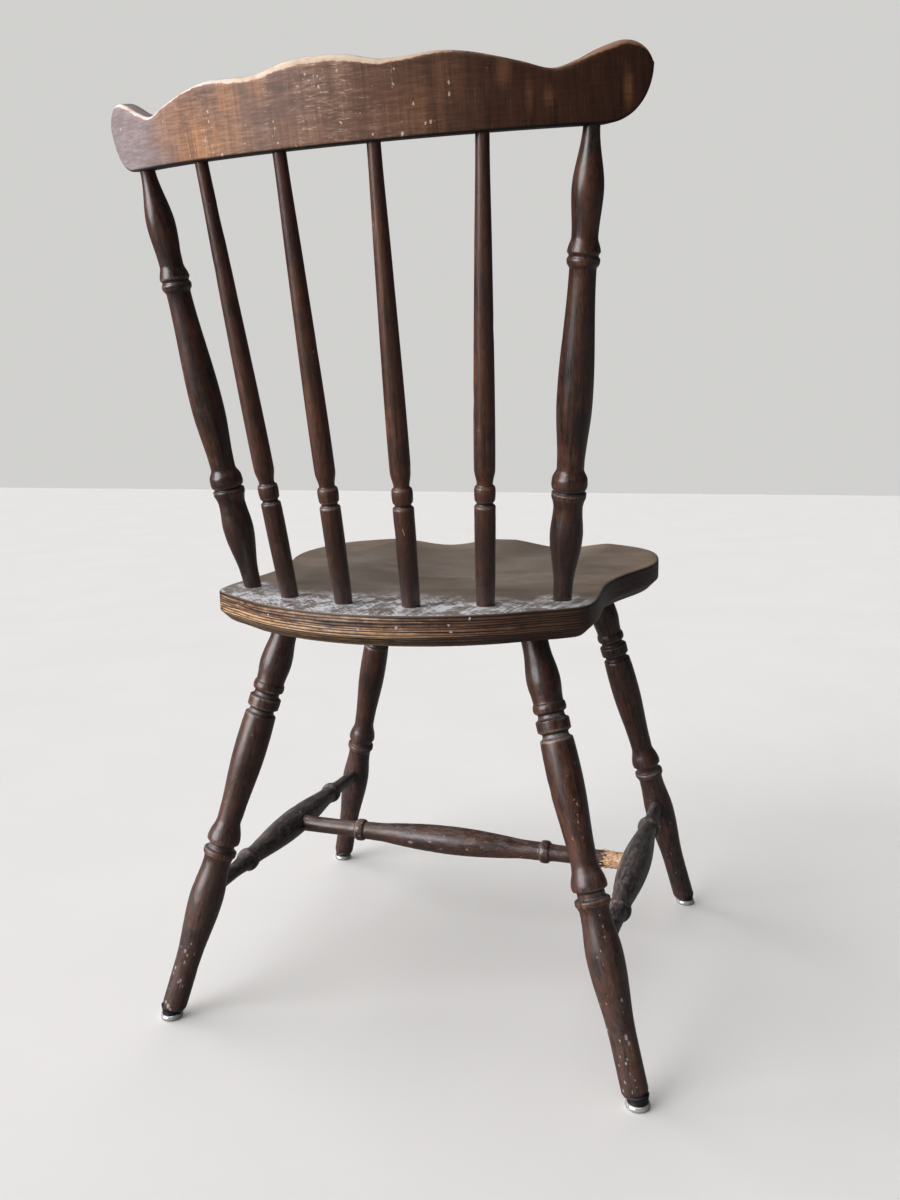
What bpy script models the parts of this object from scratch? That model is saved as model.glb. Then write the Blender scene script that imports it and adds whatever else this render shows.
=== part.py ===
"""Spindle-back chair: dished plywood seat, bowed crest rail, turned posts, spindles, legs and stretchers.

Metres, +Z up, the floor at Z = 0. The chair faces -Y and the sitter's left is +X.
Every turned piece runs along its own axis into blind sockets, with FIT_GAP all round it.
"""
import math

import bmesh
import bpy
from mathutils import Matrix, Vector

OBJECT_NAME = "spindle_back_chair"

# Clearance between any two pieces that meet
FIT_GAP = 0.0003

# Seat, in its own frame: z = 0 is the flat deck that the spindles stand on
SEAT_HEIGHT = 0.457
SEAT_TILT = math.radians(2.1)
SEAT_THICKNESS = 0.0295
SEAT_BACK_REACH = 0.2605
SEAT_BACK_RADIUS = 0.238
SEAT_FRONT_REACH = 0.217
REAR_CORNER_HALF = 0.188
REAR_CORNER_BACK = 0.181
REAR_CORNER_ROUND = 0.016
WAIST_HALF = 0.1845
WAIST_BACK = 0.060
WIDEST_HALF = 0.2125
WIDEST_FORWARD = 0.094
FRONT_CORNER_HALF = 0.172
FRONT_CORNER_FORWARD = 0.181
SEAT_TOP_ROUND = 0.004
SEAT_BOTTOM_CHAMFER = 0.0095
DISH_DEPTH = 0.012
DISH_HALF_WIDTH = 0.172
DISH_BACK_EDGE = 0.150
DISH_BACK_SLOPE = 0.110
THIGH_HOLLOW_OUT = 0.076
THIGH_HOLLOW_DEPTH = 0.0095
POMMEL_LENGTH = 0.170

# Legs: where each axis crosses the seat's underside, and where its glide stands on the floor
REAR_LEG_TOP_HALF = 0.1255
REAR_LEG_TOP_BACK = 0.145
REAR_FOOT_HALF = 0.2430
REAR_FOOT_BACK = 0.2150
FRONT_LEG_TOP_HALF = 0.1305
FRONT_LEG_TOP_FORWARD = 0.1370
FRONT_FOOT_HALF = 0.2410
FRONT_FOOT_FORWARD = 0.2150
LEG_TENON_DIAMETER = 0.0254
LEG_SOCKET_DEPTH = 0.014

# Stretchers: height of each side stretcher's axis along its legs, from the floor
REAR_STRETCHER_RISE = 0.141
FRONT_STRETCHER_RISE = 0.146
SIDE_TENON_DIAMETER = 0.0154
CROSS_TENON_DIAMETER = 0.0185
TENON_STOP = 0.005
CROSS_STRETCHER_PLACE = 0.515
CROSS_BEAD_INSET = 0.0935
CROSS_SHIFT = 0.0065
CROSS_TENON_LENGTH = 0.092

# Row of posts and spindles: distance from the middle at the seat and along the crest's bend
ROW_INSET = 0.0415
POST_FOOT_HALF = 0.158
OUTER_SPINDLE_FOOT_HALF = 0.097
INNER_SPINDLE_FOOT_HALF = 0.033
POST_TOP_OUT = 0.2079
OUTER_SPINDLE_TOP_OUT = 0.1233
INNER_SPINDLE_TOP_OUT = 0.0401
ROW_SOCKET_DEPTH = 0.016
CREST_SOCKET_DEPTH = 0.016
POST_FOOT_DIAMETER = 0.0170
POST_TOP_DIAMETER = 0.0132
SPINDLE_FOOT_DIAMETER = 0.0168
SPINDLE_TOP_DIAMETER = 0.0110

# Crest rail, in its own frame: the middle of its lower edge is the origin, and it leans back
CREST_BACK = 0.302
CREST_HEIGHT = 0.8205
CREST_LEAN = math.radians(11.5)
CREST_BEND_RADIUS = 0.368
CREST_THICKNESS = 0.018
CREST_HALF_LENGTH = 0.262
CREST_EAR_PLACE = 0.240
CREST_EAR_RISE = 0.0566
CREST_END_RISE = 0.040
CREST_LOWER_ROUND = 0.040
CREST_TOP_ARRIS = 0.0050
CREST_BOTTOM_ARRIS = 0.0018
CREST_COLUMN = 0.0125

# Foot glides: a domed metal base, a soft cushion, and the ball-headed nail that holds both
GLIDE_DIAMETER = 0.0230
GLIDE_RIM_HEIGHT = 0.0018
GLIDE_HEIGHT = 0.0042
GLIDE_TOP_DIAMETER = 0.0110
GLIDE_FLOOR = 0.0009
NAIL_BALL_DIAMETER = 0.0046
NAIL_PIVOT_RISE = 0.0034
NAIL_SHANK_DIAMETER = 0.0026
NAIL_GRIP = 0.014
CUSHION_DIAMETER = 0.0204
FOOT_END_RISE = 0.0117

# Facets round each kind of piece, and the most steps along one swept stretch
LEG_FACETS = 16
POST_FACETS = 14
SPINDLE_FACETS = 10
STRETCHER_FACETS = 14
GLIDE_FACETS = 16
NAIL_FACETS = 10
SWEEP_STEPS = 5
SWEEP_STEP_LENGTH = 0.013

# How a turned surface runs to its next diameter: straight, an S-shaped sweep, or a swell off a belly
STRAIGHT = "straight"
SWEEP = "sweep"
SWELL = "swell"

# Turnings, bottom to top. Each row is an element, its length and its end diameter, and how it runs there
LEG_END_DIAMETER = 0.0222
LEG_TURNING = [
    ("foot edge", 0.0043, 0.0250, STRAIGHT),
    ("foot", 0.0440, 0.0252, STRAIGHT),
    ("lower vase", 0.0750, 0.0348, SWEEP),
    ("vase neck", 0.0410, 0.0284, SWEEP),
    ("ring flare", 0.0060, 0.0310, STRAIGHT),
    ("ring edge", 0.0020, 0.0337, STRAIGHT),
    ("ring", 0.0038, 0.0337, STRAIGHT),
    ("groove side", 0.0022, 0.0262, STRAIGHT),
    ("groove", 0.0052, 0.0260, STRAIGHT),
    ("ball edge", 0.0025, 0.0332, STRAIGHT),
    ("ball", 0.0030, 0.0337, STRAIGHT),
    ("ball neck", 0.0200, 0.0252, SWEEP),
    ("long swell", 0.0800, 0.0332, SWEEP),
    ("shoulder", 0.0355, 0.0314, STRAIGHT),
    ("cove side", 0.0022, 0.0260, STRAIGHT),
    ("cove", 0.0036, 0.0248, STRAIGHT),
    ("collar edge", 0.0025, 0.0317, STRAIGHT),
    ("collar", 0.0099, 0.0321, STRAIGHT),
    ("cove side", 0.0022, 0.0261, STRAIGHT),
    ("cove", 0.0036, 0.0250, STRAIGHT),
    ("bead edge", 0.0026, 0.0308, STRAIGHT),
    ("bead", 0.0032, 0.0317, STRAIGHT),
    ("bead", 0.0032, 0.0308, STRAIGHT),
    ("step", 0.0020, 0.0285, STRAIGHT),
    ("bulge", 0.0200, 0.0320, SWEEP),
    ("top neck", 0.0330, LEG_TENON_DIAMETER, SWEEP),
    ("top", 0.0190, LEG_TENON_DIAMETER, STRAIGHT),
]
POST_TURNING = [
    ("foot", 0.0100, 0.0174, STRAIGHT),
    ("lower vase", 0.0530, 0.0294, SWEEP),
    ("vase neck", 0.0240, 0.0257, SWEEP),
    ("ring flare", 0.0070, 0.0283, STRAIGHT),
    ("ring edge", 0.0028, 0.0304, STRAIGHT),
    ("ring", 0.0035, 0.0304, STRAIGHT),
    ("groove side", 0.0018, 0.0256, STRAIGHT),
    ("collar edge", 0.0022, 0.0300, STRAIGHT),
    ("collar", 0.0036, 0.0315, STRAIGHT),
    ("collar", 0.0050, 0.0308, STRAIGHT),
    ("neck", 0.0090, 0.0237, SWEEP),
    ("upper vase", 0.0580, 0.0304, SWEEP),
    ("vase top", 0.0090, 0.0303, STRAIGHT),
    ("long taper", 0.0960, 0.0220, STRAIGHT),
    ("ring edge", 0.0040, 0.0264, STRAIGHT),
    ("ring", 0.0030, 0.0270, STRAIGHT),
    ("groove side", 0.0030, 0.0240, STRAIGHT),
    ("ring", 0.0030, 0.0270, STRAIGHT),
    ("ring edge", 0.0030, 0.0258, STRAIGHT),
    ("cove", 0.0080, 0.0213, SWEEP),
    ("tip swell", 0.0340, 0.0254, STRAIGHT),
    ("tip", 0.0455, POST_TOP_DIAMETER, STRAIGHT),
]
SPINDLE_TURNING = [
    ("foot", 0.0240, 0.0177, STRAIGHT),
    ("lower taper", 0.0480, 0.0186, STRAIGHT),
    ("lower body", 0.0195, 0.0186, STRAIGHT),
    ("groove side", 0.0028, 0.0140, STRAIGHT),
    ("ring edge", 0.0032, 0.0178, STRAIGHT),
    ("ring", 0.0066, 0.0187, STRAIGHT),
    ("ring edge", 0.0046, 0.0178, STRAIGHT),
    ("groove side", 0.0022, 0.0139, STRAIGHT),
    ("swell", 0.0130, 0.0182, SWEEP),
    ("body", 0.0130, 0.0184, STRAIGHT),
    ("long taper", 0.1600, 0.0142, STRAIGHT),
    ("tip", 0.0860, SPINDLE_TOP_DIAMETER, STRAIGHT),
]

# Stretchers, from the middle of each outwards; each starts at its belly's diameter
SIDE_BELLY_DIAMETER = 0.0325
SIDE_HALF_TURNING = [
    ("belly", 0.0750, 0.0235, SWELL),
    ("taper", 0.0170, 0.0208, STRAIGHT),
    ("waist", 0.0105, 0.0205, STRAIGHT),
    ("bead edge", 0.0020, 0.0245, STRAIGHT),
    ("bead", 0.0040, 0.0256, STRAIGHT),
    ("bead", 0.0040, 0.0245, STRAIGHT),
    ("neck", 0.0020, 0.0206, STRAIGHT),
    ("end taper", 0.0360, SIDE_TENON_DIAMETER, STRAIGHT),
]
CROSS_BELLY_DIAMETER = 0.0320
CROSS_HALF_TURNING = [
    ("belly", 0.0850, 0.0213, SWELL),
    ("waist", 0.0210, 0.0205, STRAIGHT),
    ("bead edge", 0.0020, 0.0245, STRAIGHT),
    ("bead", 0.0040, 0.0256, STRAIGHT),
    ("bead", 0.0040, 0.0245, STRAIGHT),
    ("neck", 0.0020, 0.0200, STRAIGHT),
    ("end taper", 0.0100, CROSS_TENON_DIAMETER, STRAIGHT),
]

# Crest's top edge: distance along its rear face from the middle, and height over the lower edge
CREST_TOP_EDGE = [
    (0.000, 0.0622),
    (0.026, 0.0607),
    (0.052, 0.0554),
    (0.074, 0.0557),
    (0.097, 0.0570),
    (0.117, 0.0551),
    (0.137, 0.0510),
    (0.158, 0.0458),
    (0.1815, 0.0400),
    (0.202, 0.0450),
    (0.222, 0.0526),
    (CREST_EAR_PLACE, CREST_EAR_RISE),
]


def clear_objects():
    for item in list(bpy.data.objects):
        bpy.data.objects.remove(item, do_unlink=True)


def make_collection(name):
    collection = bpy.data.collections.new(name)
    bpy.context.scene.collection.children.link(collection)
    return collection


def make_material(name, colour, roughness, metallic=0.0):
    material = bpy.data.materials.new(name)
    material.use_nodes = True
    surface = material.node_tree.nodes["Principled BSDF"]
    surface.inputs["Base Color"].default_value = (*colour, 1.0)
    surface.inputs["Roughness"].default_value = roughness
    surface.inputs["Metallic"].default_value = metallic
    return material


def ease(t):
    return (1.0 - math.cos(math.pi * t)) / 2.0


def swell(t):
    return 1.0 - math.cos(math.pi / 2.0 * t)


CURVES = {STRAIGHT: lambda t: t, SWEEP: ease, SWELL: swell}


def turning_length(turning):
    return sum(length for _, length, _, _ in turning)


def turned_rows(start_diameter, turning, stretch=1.0):
    """The (distance, radius) rows of a turning whose lengths are all stretched alike."""
    rows = [(0.0, start_diameter / 2.0)]
    for _, length, diameter, run in turning:
        start, radius = rows[-1]
        steps = 1 if run == STRAIGHT else min(SWEEP_STEPS, math.ceil(length / SWEEP_STEP_LENGTH) + 1)
        for step in range(1, steps + 1):
            t = step / steps
            change = (diameter / 2.0 - radius) * CURVES[run](t)
            rows.append((start + length * stretch * t, radius + change))
    return rows


def shifted(rows, distance):
    return [(place + distance, radius) for place, radius in rows]


def mirrored(rows):
    """Rows of a whole symmetric turning from the rows of its upper half."""
    return [(-place, radius) for place, radius in reversed(rows[1:])] + rows


def frame_along(origin, direction):
    """A matrix at origin whose Z runs along direction."""
    return Matrix.Translation(origin) @ direction.to_track_quat("Z", "Y").to_matrix().to_4x4()


def add_object(name, mesh, collection, matrix, material=None):
    item = bpy.data.objects.new(name, mesh)
    item.matrix_world = matrix
    collection.objects.link(item)
    if material:
        mesh.materials.append(material)
    return item


def add_turned(name, rows, facets, collection, matrix, material=None):
    """A solid turned about its own Z from (distance, radius) rows, lowest first."""
    outer = [(radius, 0.0, place) for place, radius in reversed(rows)]
    points = [(0.0, 0.0, rows[-1][0]), *outer, (0.0, 0.0, rows[0][0])]
    mesh = bpy.data.meshes.new(name)
    mesh.from_pydata(points, [(i, i + 1) for i in range(len(points) - 1)], [])
    item = add_object(name, mesh, collection, matrix, material)
    screw = item.modifiers.new("turn", "SCREW")
    screw.axis = "Z"
    screw.steps = facets
    screw.render_steps = facets
    screw.use_merge_vertices = True
    screw.merge_threshold = 0.00005
    screw.use_smooth_shade = True
    return item


def add_socket(target, name, diameter, low, high, facets, matrix):
    """Bore a round hole into target, wider than its tenon by FIT_GAP all round and past its end."""
    rows = [(low, diameter / 2.0 + FIT_GAP), (high, diameter / 2.0 + FIT_GAP)]
    cutter = add_turned(name, rows, facets, CUTTERS, matrix)
    cut_with(target, cutter)


def cut_with(target, cutter):
    cutter.hide_render = True
    cutter.display_type = "WIRE"
    cut = target.modifiers.new(cutter.name, "BOOLEAN")
    cut.operation = "DIFFERENCE"
    cut.solver = "EXACT"
    cut.object = cutter


def seat_frame():
    return Matrix.Translation((0.0, 0.0, SEAT_HEIGHT)) @ Matrix.Rotation(-SEAT_TILT, 4, "X")


def crest_frame():
    return Matrix.Translation((0.0, CREST_BACK, CREST_HEIGHT)) @ Matrix.Rotation(-CREST_LEAN, 4, "X")


def crest_point(out, offset, rise):
    """A point of the crest at out along its middle's bend, offset to the back, rise up its lean."""
    angle = out / CREST_BEND_RADIUS
    radius = CREST_BEND_RADIUS + offset
    return Vector((radius * math.sin(angle), radius * math.cos(angle) - CREST_BEND_RADIUS, rise))


def back_edge(half):
    """How far back the seat's rounded back edge lies at half its width from the middle."""
    return SEAT_BACK_REACH - SEAT_BACK_RADIUS + math.sqrt(SEAT_BACK_RADIUS ** 2 - half ** 2)


def on_deck(half, back, depth=0.0):
    return seat_frame() @ Vector((half, back, -depth))


def seat_half_outline():
    """Points from the back's middle round the seat's left side to the front's middle."""
    arc = [REAR_CORNER_HALF * share for share in (0.0, 0.2, 0.4, 0.6, 0.78)]
    back = [(half, back_edge(half)) for half in arc]
    corner = [
        (REAR_CORNER_HALF - REAR_CORNER_ROUND, REAR_CORNER_BACK + REAR_CORNER_ROUND * 0.75),
        (REAR_CORNER_HALF - REAR_CORNER_ROUND / 4.0, REAR_CORNER_BACK),
        (REAR_CORNER_HALF, REAR_CORNER_BACK - REAR_CORNER_ROUND),
    ]
    side = [
        (WAIST_HALF, WAIST_BACK),
        (WIDEST_HALF, -WIDEST_FORWARD),
        (FRONT_CORNER_HALF, -FRONT_CORNER_FORWARD),
    ]
    return back + corner + side + [(0.0, -SEAT_FRONT_REACH)]


def smooth_closed_outline(points, resolution):
    """Points along a closed Bezier spline with automatic handles through the given points."""
    curve = bpy.data.curves.new("seat_outline", "CURVE")
    curve.dimensions = "2D"
    curve.fill_mode = "BOTH"
    curve.extrude = SEAT_THICKNESS / 2.0
    spline = curve.splines.new("BEZIER")
    spline.bezier_points.add(len(points) - 1)
    spline.use_cyclic_u = True
    spline.resolution_u = resolution
    curve.resolution_u = resolution
    for knot, (x, y) in zip(spline.bezier_points, points):
        knot.co = (x, y, 0.0)
        knot.handle_left_type = "AUTO"
        knot.handle_right_type = "AUTO"
    return curve


def dish_depth(x, y):
    """Depth of the seat's dish below its deck: one bowl at the back, two thigh hollows in front."""
    across = min(abs(x) / DISH_HALF_WIDTH, 1.0)
    bowl = DISH_DEPTH * math.cos(math.pi / 2.0 * across) ** 2
    hollow = THIGH_HOLLOW_DEPTH * math.sin(math.pi / 2.0 * min(abs(x) / THIGH_HOLLOW_OUT, 2.0)) ** 2
    rear = ease(min(max((DISH_BACK_EDGE - y) / DISH_BACK_SLOPE, 0.0), 1.0))
    front = ease(min(max((y + SEAT_FRONT_REACH) / POMMEL_LENGTH, 0.0), 1.0))
    return rear * (bowl * front + hollow * (1.0 - front))


def add_dish_cutter():
    """A block over the seat whose underside follows the dish."""
    margin = 0.02
    lift = 0.0008
    cells = 23
    bm = bmesh.new()
    bmesh.ops.create_cube(bm, size=1.0)
    size = (2.0 * (WIDEST_HALF + margin), SEAT_BACK_REACH + SEAT_FRONT_REACH + 2.0 * margin, SEAT_THICKNESS)
    middle = Vector((0.0, (SEAT_BACK_REACH - SEAT_FRONT_REACH) / 2.0, SEAT_THICKNESS))
    bmesh.ops.scale(bm, vec=size, verts=bm.verts)
    bmesh.ops.subdivide_edges(bm, edges=bm.edges, cuts=cells, use_grid_fill=True)
    lowest = -SEAT_THICKNESS / 2.0 + FIT_GAP
    for vertex in bm.verts:
        is_under = vertex.co.z < lowest
        vertex.co += middle
        if is_under:
            vertex.co.z = lift - dish_depth(vertex.co.x, vertex.co.y)
    mesh = bpy.data.meshes.new("seat_dish_cutter")
    bm.to_mesh(mesh)
    bm.free()
    return add_object("seat_dish_cutter", mesh, CUTTERS, seat_frame())


def add_seat(material):
    half = seat_half_outline()
    outline = half + [(-x, y) for x, y in reversed(half[1:-1])]
    curve = bpy.data.objects.new("seat_curve", smooth_closed_outline(outline, 4))
    CUTTERS.objects.link(curve)
    evaluated = curve.evaluated_get(bpy.context.evaluated_depsgraph_get())
    mesh = bpy.data.meshes.new_from_object(evaluated)
    bpy.data.objects.remove(curve, do_unlink=True)
    bm = bmesh.new()
    bm.from_mesh(mesh)
    bmesh.ops.remove_doubles(bm, verts=bm.verts, dist=0.00002)
    bmesh.ops.dissolve_limit(bm, angle_limit=math.radians(0.5), verts=bm.verts, edges=bm.edges)
    bmesh.ops.translate(bm, vec=(0.0, 0.0, -SEAT_THICKNESS / 2.0), verts=bm.verts)
    bmesh.ops.recalc_face_normals(bm, faces=bm.faces)
    bevel_level(bm, 0.0, SEAT_TOP_ROUND, 2)
    bevel_level(bm, -SEAT_THICKNESS, SEAT_BOTTOM_CHAMFER, 1)
    bm.to_mesh(mesh)
    bm.free()
    seat = add_object("seat", mesh, PARTS, seat_frame(), material)
    cut_with(seat, add_dish_cutter())
    return seat


def bevel_level(bm, level, width, segments):
    """Bevel every edge that lies at one height."""
    edges = [e for e in bm.edges if all(abs(v.co.z - level) < FIT_GAP for v in e.verts)]
    bmesh.ops.bevel(bm, geom=edges, offset=width, segments=segments, profile=0.5, affect="EDGES")


def smooth_height(points, place):
    """Height at place on the smooth curve through (place, height) points, level at both its ends."""
    index = max(i for i in range(len(points) - 1) if points[i][0] <= place)

    def slope(i):
        if i in (0, len(points) - 1):
            return 0.0
        return (points[i + 1][1] - points[i - 1][1]) / (points[i + 1][0] - points[i - 1][0])

    (x0, y0), (x1, y1) = points[index], points[index + 1]
    span = x1 - x0
    t = (place - x0) / span
    start = y0 * (1.0 + 2.0 * t) + span * slope(index) * t
    end = y1 * (3.0 - 2.0 * t) - span * slope(index + 1) * (1.0 - t)
    return start * (1.0 - t) ** 2 + end * t ** 2


def crest_top(place):
    if place < CREST_EAR_PLACE:
        return smooth_height(CREST_TOP_EDGE, place)
    along = (place - CREST_EAR_PLACE) / (CREST_HALF_LENGTH - CREST_EAR_PLACE)
    return CREST_END_RISE + (CREST_EAR_RISE - CREST_END_RISE) * math.sqrt(1.0 - min(along, 1.0) ** 2)


def crest_bottom(place):
    along = max((place - CREST_HALF_LENGTH + CREST_LOWER_ROUND) / CREST_LOWER_ROUND, 0.0)
    return CREST_END_RISE * (1.0 - math.sqrt(1.0 - min(along, 1.0) ** 2))


def crest_places():
    """Places of the crest's sections along one half, closer together round its end."""
    straight = CREST_HALF_LENGTH - CREST_LOWER_ROUND
    count = round(straight / CREST_COLUMN)
    even = [straight * i / count for i in range(count + 1)]
    turn = [straight + CREST_LOWER_ROUND * math.sin(math.radians(a)) for a in (16, 32, 48, 63, 76, 87)]
    return even + turn


def crest_section(place):
    """One section of the crest: a board's end with both of its long edges eased."""
    side = math.copysign(1.0, place)
    low, high = crest_bottom(abs(place)), crest_top(abs(place))
    half = CREST_THICKNESS / 2.0
    foot = min(CREST_BOTTOM_ARRIS, (high - low) * 0.3)
    head = min(CREST_TOP_ARRIS, (high - low) * 0.3)
    out = side * abs(place) * CREST_BEND_RADIUS / (CREST_BEND_RADIUS + half)
    corners = [
        (-half + foot, low), (half - foot, low), (half, low + foot), (half, high - head),
        (half - head, high), (-half + head, high), (-half, high - head), (-half, low + foot),
    ]
    return [crest_point(out, offset, rise) for offset, rise in corners]


def add_crest(material):
    """A loft from end to end through the board's sections."""
    half = crest_places()
    places = [-place for place in reversed(half[1:])] + half
    bm = bmesh.new()
    rings = [[bm.verts.new(point) for point in crest_section(place)] for place in places]
    for ring, following in zip(rings, rings[1:]):
        for i in range(len(ring)):
            j = (i + 1) % len(ring)
            bm.faces.new((ring[i], ring[j], following[j], following[i]))
    bm.faces.new(rings[0])
    bm.faces.new(reversed(rings[-1]))
    bmesh.ops.recalc_face_normals(bm, faces=bm.faces)
    mesh = bpy.data.meshes.new("crest_rail")
    bm.to_mesh(mesh)
    bm.free()
    mesh.shade_smooth()
    mesh.set_sharp_from_angle(angle=math.radians(35.0))
    return add_object("crest_rail", mesh, PARTS, crest_frame(), material)


def add_upright(name, foot_half, top_out, ends, turning, facets, material, seat, crest):
    """A post or spindle from its socket in the seat's deck to its socket in the crest."""
    foot = on_deck(foot_half, back_edge(foot_half) - ROW_INSET)
    top = crest_frame() @ crest_point(top_out, 0.0, 0.0)
    length = (top - foot).length
    matrix = frame_along(foot, top - foot)
    rows = turned_rows(ends[0], turning, length / turning_length(turning))
    whole = [(-ROW_SOCKET_DEPTH, ends[0] / 2.0), *rows, (length + CREST_SOCKET_DEPTH, ends[1] / 2.0)]
    add_turned(name, whole, facets, PARTS, matrix, material)
    socket_foot = -ROW_SOCKET_DEPTH - FIT_GAP
    add_socket(seat, name + "_seat_socket", ends[0], socket_foot, ends[0] / 2.0, facets, matrix)
    socket_end = length + CREST_SOCKET_DEPTH + FIT_GAP
    add_socket(crest, name + "_crest_socket", ends[1], length - ends[1] / 2.0, socket_end, facets, matrix)


def add_uprights(seat, crest, post_material, spindle_material):
    spindle_ends = (SPINDLE_FOOT_DIAMETER, SPINDLE_TOP_DIAMETER)
    post_ends = (POST_FOOT_DIAMETER, POST_TOP_DIAMETER)
    outer = (OUTER_SPINDLE_FOOT_HALF, OUTER_SPINDLE_TOP_OUT)
    inner = (INNER_SPINDLE_FOOT_HALF, INNER_SPINDLE_TOP_OUT)
    spindles = [(1, outer, 1), (2, inner, 1), (3, inner, -1), (4, outer, -1)]
    for number, (foot, top), side in spindles:
        add_upright(f"spindle_{number}", side * foot, side * top, spindle_ends, SPINDLE_TURNING,
                    SPINDLE_FACETS, spindle_material, seat, crest)
    for name, side in (("left_post", 1), ("right_post", -1)):
        add_upright(name, side * POST_FOOT_HALF, side * POST_TOP_OUT, post_ends, POST_TURNING,
                    POST_FACETS, post_material, seat, crest)


class LegAxis:
    """A leg's line through its glide's pivot and its crossing of the seat's underside."""

    def __init__(self, foot_half, foot_back, top_half, top_back):
        self.glide = Vector((foot_half, foot_back, 0.0))
        self.top = on_deck(top_half, top_back, SEAT_THICKNESS)
        pivot = self.glide + Vector((0.0, 0.0, NAIL_PIVOT_RISE))
        self.direction = (self.top - pivot).normalized()
        self.floor = pivot - self.direction * (NAIL_PIVOT_RISE / self.direction.z)
        self.length = (self.top - self.floor).length
        self.matrix = frame_along(self.floor, self.direction)

    def at(self, distance):
        return self.floor + self.direction * distance


def leg_axes():
    """Each leg's name and axis."""
    axes = {}
    for side_name, side in (("left", 1), ("right", -1)):
        axes[f"rear_{side_name}"] = LegAxis(
            side * REAR_FOOT_HALF, REAR_FOOT_BACK, side * REAR_LEG_TOP_HALF, REAR_LEG_TOP_BACK)
        axes[f"front_{side_name}"] = LegAxis(
            side * FRONT_FOOT_HALF, -FRONT_FOOT_FORWARD, side * FRONT_LEG_TOP_HALF, -FRONT_LEG_TOP_FORWARD)
    return axes


def add_leg(place, axis, seat, material):
    """A leg from its glide to its socket in the seat, with a nail hole up its lower end."""
    stretch = (axis.length - FOOT_END_RISE) / turning_length(LEG_TURNING)
    rows = shifted(turned_rows(LEG_END_DIAMETER, LEG_TURNING, stretch), FOOT_END_RISE)
    rows.append((axis.length + LEG_SOCKET_DEPTH, LEG_TENON_DIAMETER / 2.0))
    leg = add_turned(place + "_leg", rows, LEG_FACETS, PARTS, axis.matrix, material)
    socket_end = axis.length + LEG_SOCKET_DEPTH + FIT_GAP
    below = axis.length - LEG_TENON_DIAMETER / 2.0
    add_socket(seat, place + "_leg_socket", LEG_TENON_DIAMETER, below, socket_end, LEG_FACETS, axis.matrix)
    nail_end = FOOT_END_RISE + NAIL_GRIP + FIT_GAP
    add_socket(leg, place + "_nail_hole", NAIL_SHANK_DIAMETER, NAIL_PIVOT_RISE, nail_end, NAIL_FACETS, axis.matrix)
    return leg


def add_glide(place, axis, metal, soft, steel):
    """A domed base flat on the floor, a cushion under the leg's end, and the nail through both."""
    rim, top = GLIDE_DIAMETER / 2.0, GLIDE_TOP_DIAMETER / 2.0
    dome = [
        (0.0, rim - GLIDE_RIM_HEIGHT / 4.0), (GLIDE_RIM_HEIGHT / 3.0, rim), (GLIDE_RIM_HEIGHT, rim),
        (GLIDE_HEIGHT * 0.8, (rim + top) / 2.0), (GLIDE_HEIGHT, top),
    ]
    level = Matrix.Translation(axis.glide)
    base = add_turned("glide_base_" + place, dome, GLIDE_FACETS, PARTS, level, metal)
    ball = NAIL_BALL_DIAMETER / 2.0
    add_socket(base, place + "_ball_cup", NAIL_BALL_DIAMETER, GLIDE_FLOOR - FIT_GAP,
               GLIDE_HEIGHT + ball, NAIL_FACETS, level)
    low = GLIDE_HEIGHT + FIT_GAP
    tall = [(low, CUSHION_DIAMETER / 2.0), (FOOT_END_RISE + CUSHION_DIAMETER, CUSHION_DIAMETER / 2.0)]
    cushion = add_turned("glide_cushion_" + place, tall, GLIDE_FACETS, PARTS, level, soft)
    above = [(FOOT_END_RISE - FIT_GAP, GLIDE_DIAMETER), (FOOT_END_RISE + GLIDE_DIAMETER, GLIDE_DIAMETER)]
    cut_with(cushion, add_turned(place + "_leg_end_space", above, GLIDE_FACETS, CUTTERS, axis.matrix))
    add_socket(cushion, place + "_cushion_hole", NAIL_BALL_DIAMETER, 0.0,
               FOOT_END_RISE + ball, NAIL_FACETS, axis.matrix)
    shank = NAIL_SHANK_DIAMETER / 2.0
    pivot = NAIL_PIVOT_RISE / axis.direction.z
    neck = math.sqrt(ball ** 2 - shank ** 2)
    nail_rows = [(pivot - ball * 0.9, ball * 0.436), (pivot - ball * 0.5, ball * 0.866), (pivot, ball),
                 (pivot + ball * 0.5, ball * 0.866), (pivot + neck, shank), (FOOT_END_RISE + NAIL_GRIP, shank)]
    add_turned("glide_nail_" + place, nail_rows, NAIL_FACETS, PARTS, axis.matrix, steel)


def add_side_stretcher(side, rear, front, material):
    """A stretcher between the legs of one side, bored into both."""
    back, fore = rear["axis"].at(REAR_STRETCHER_RISE), front["axis"].at(FRONT_STRETCHER_RISE)
    run = fore - back
    matrix = frame_along((back + fore) / 2.0, run)
    reach = run.length / 2.0 - TENON_STOP
    half = turned_rows(SIDE_BELLY_DIAMETER, SIDE_HALF_TURNING)
    rows = mirrored(half + [(reach, SIDE_TENON_DIAMETER / 2.0)])
    stretcher = add_turned(side + "_side_stretcher", rows, STRETCHER_FACETS, PARTS, matrix, material)
    start, stop = turning_length(SIDE_HALF_TURNING), reach + FIT_GAP
    add_socket(rear["leg"], side + "_rear_socket", SIDE_TENON_DIAMETER, -stop, -start, STRETCHER_FACETS, matrix)
    add_socket(front["leg"], side + "_front_socket", SIDE_TENON_DIAMETER, start, stop, STRETCHER_FACETS, matrix)
    return {"stretcher": stretcher, "cross_point": back + run * CROSS_STRETCHER_PLACE}


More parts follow.
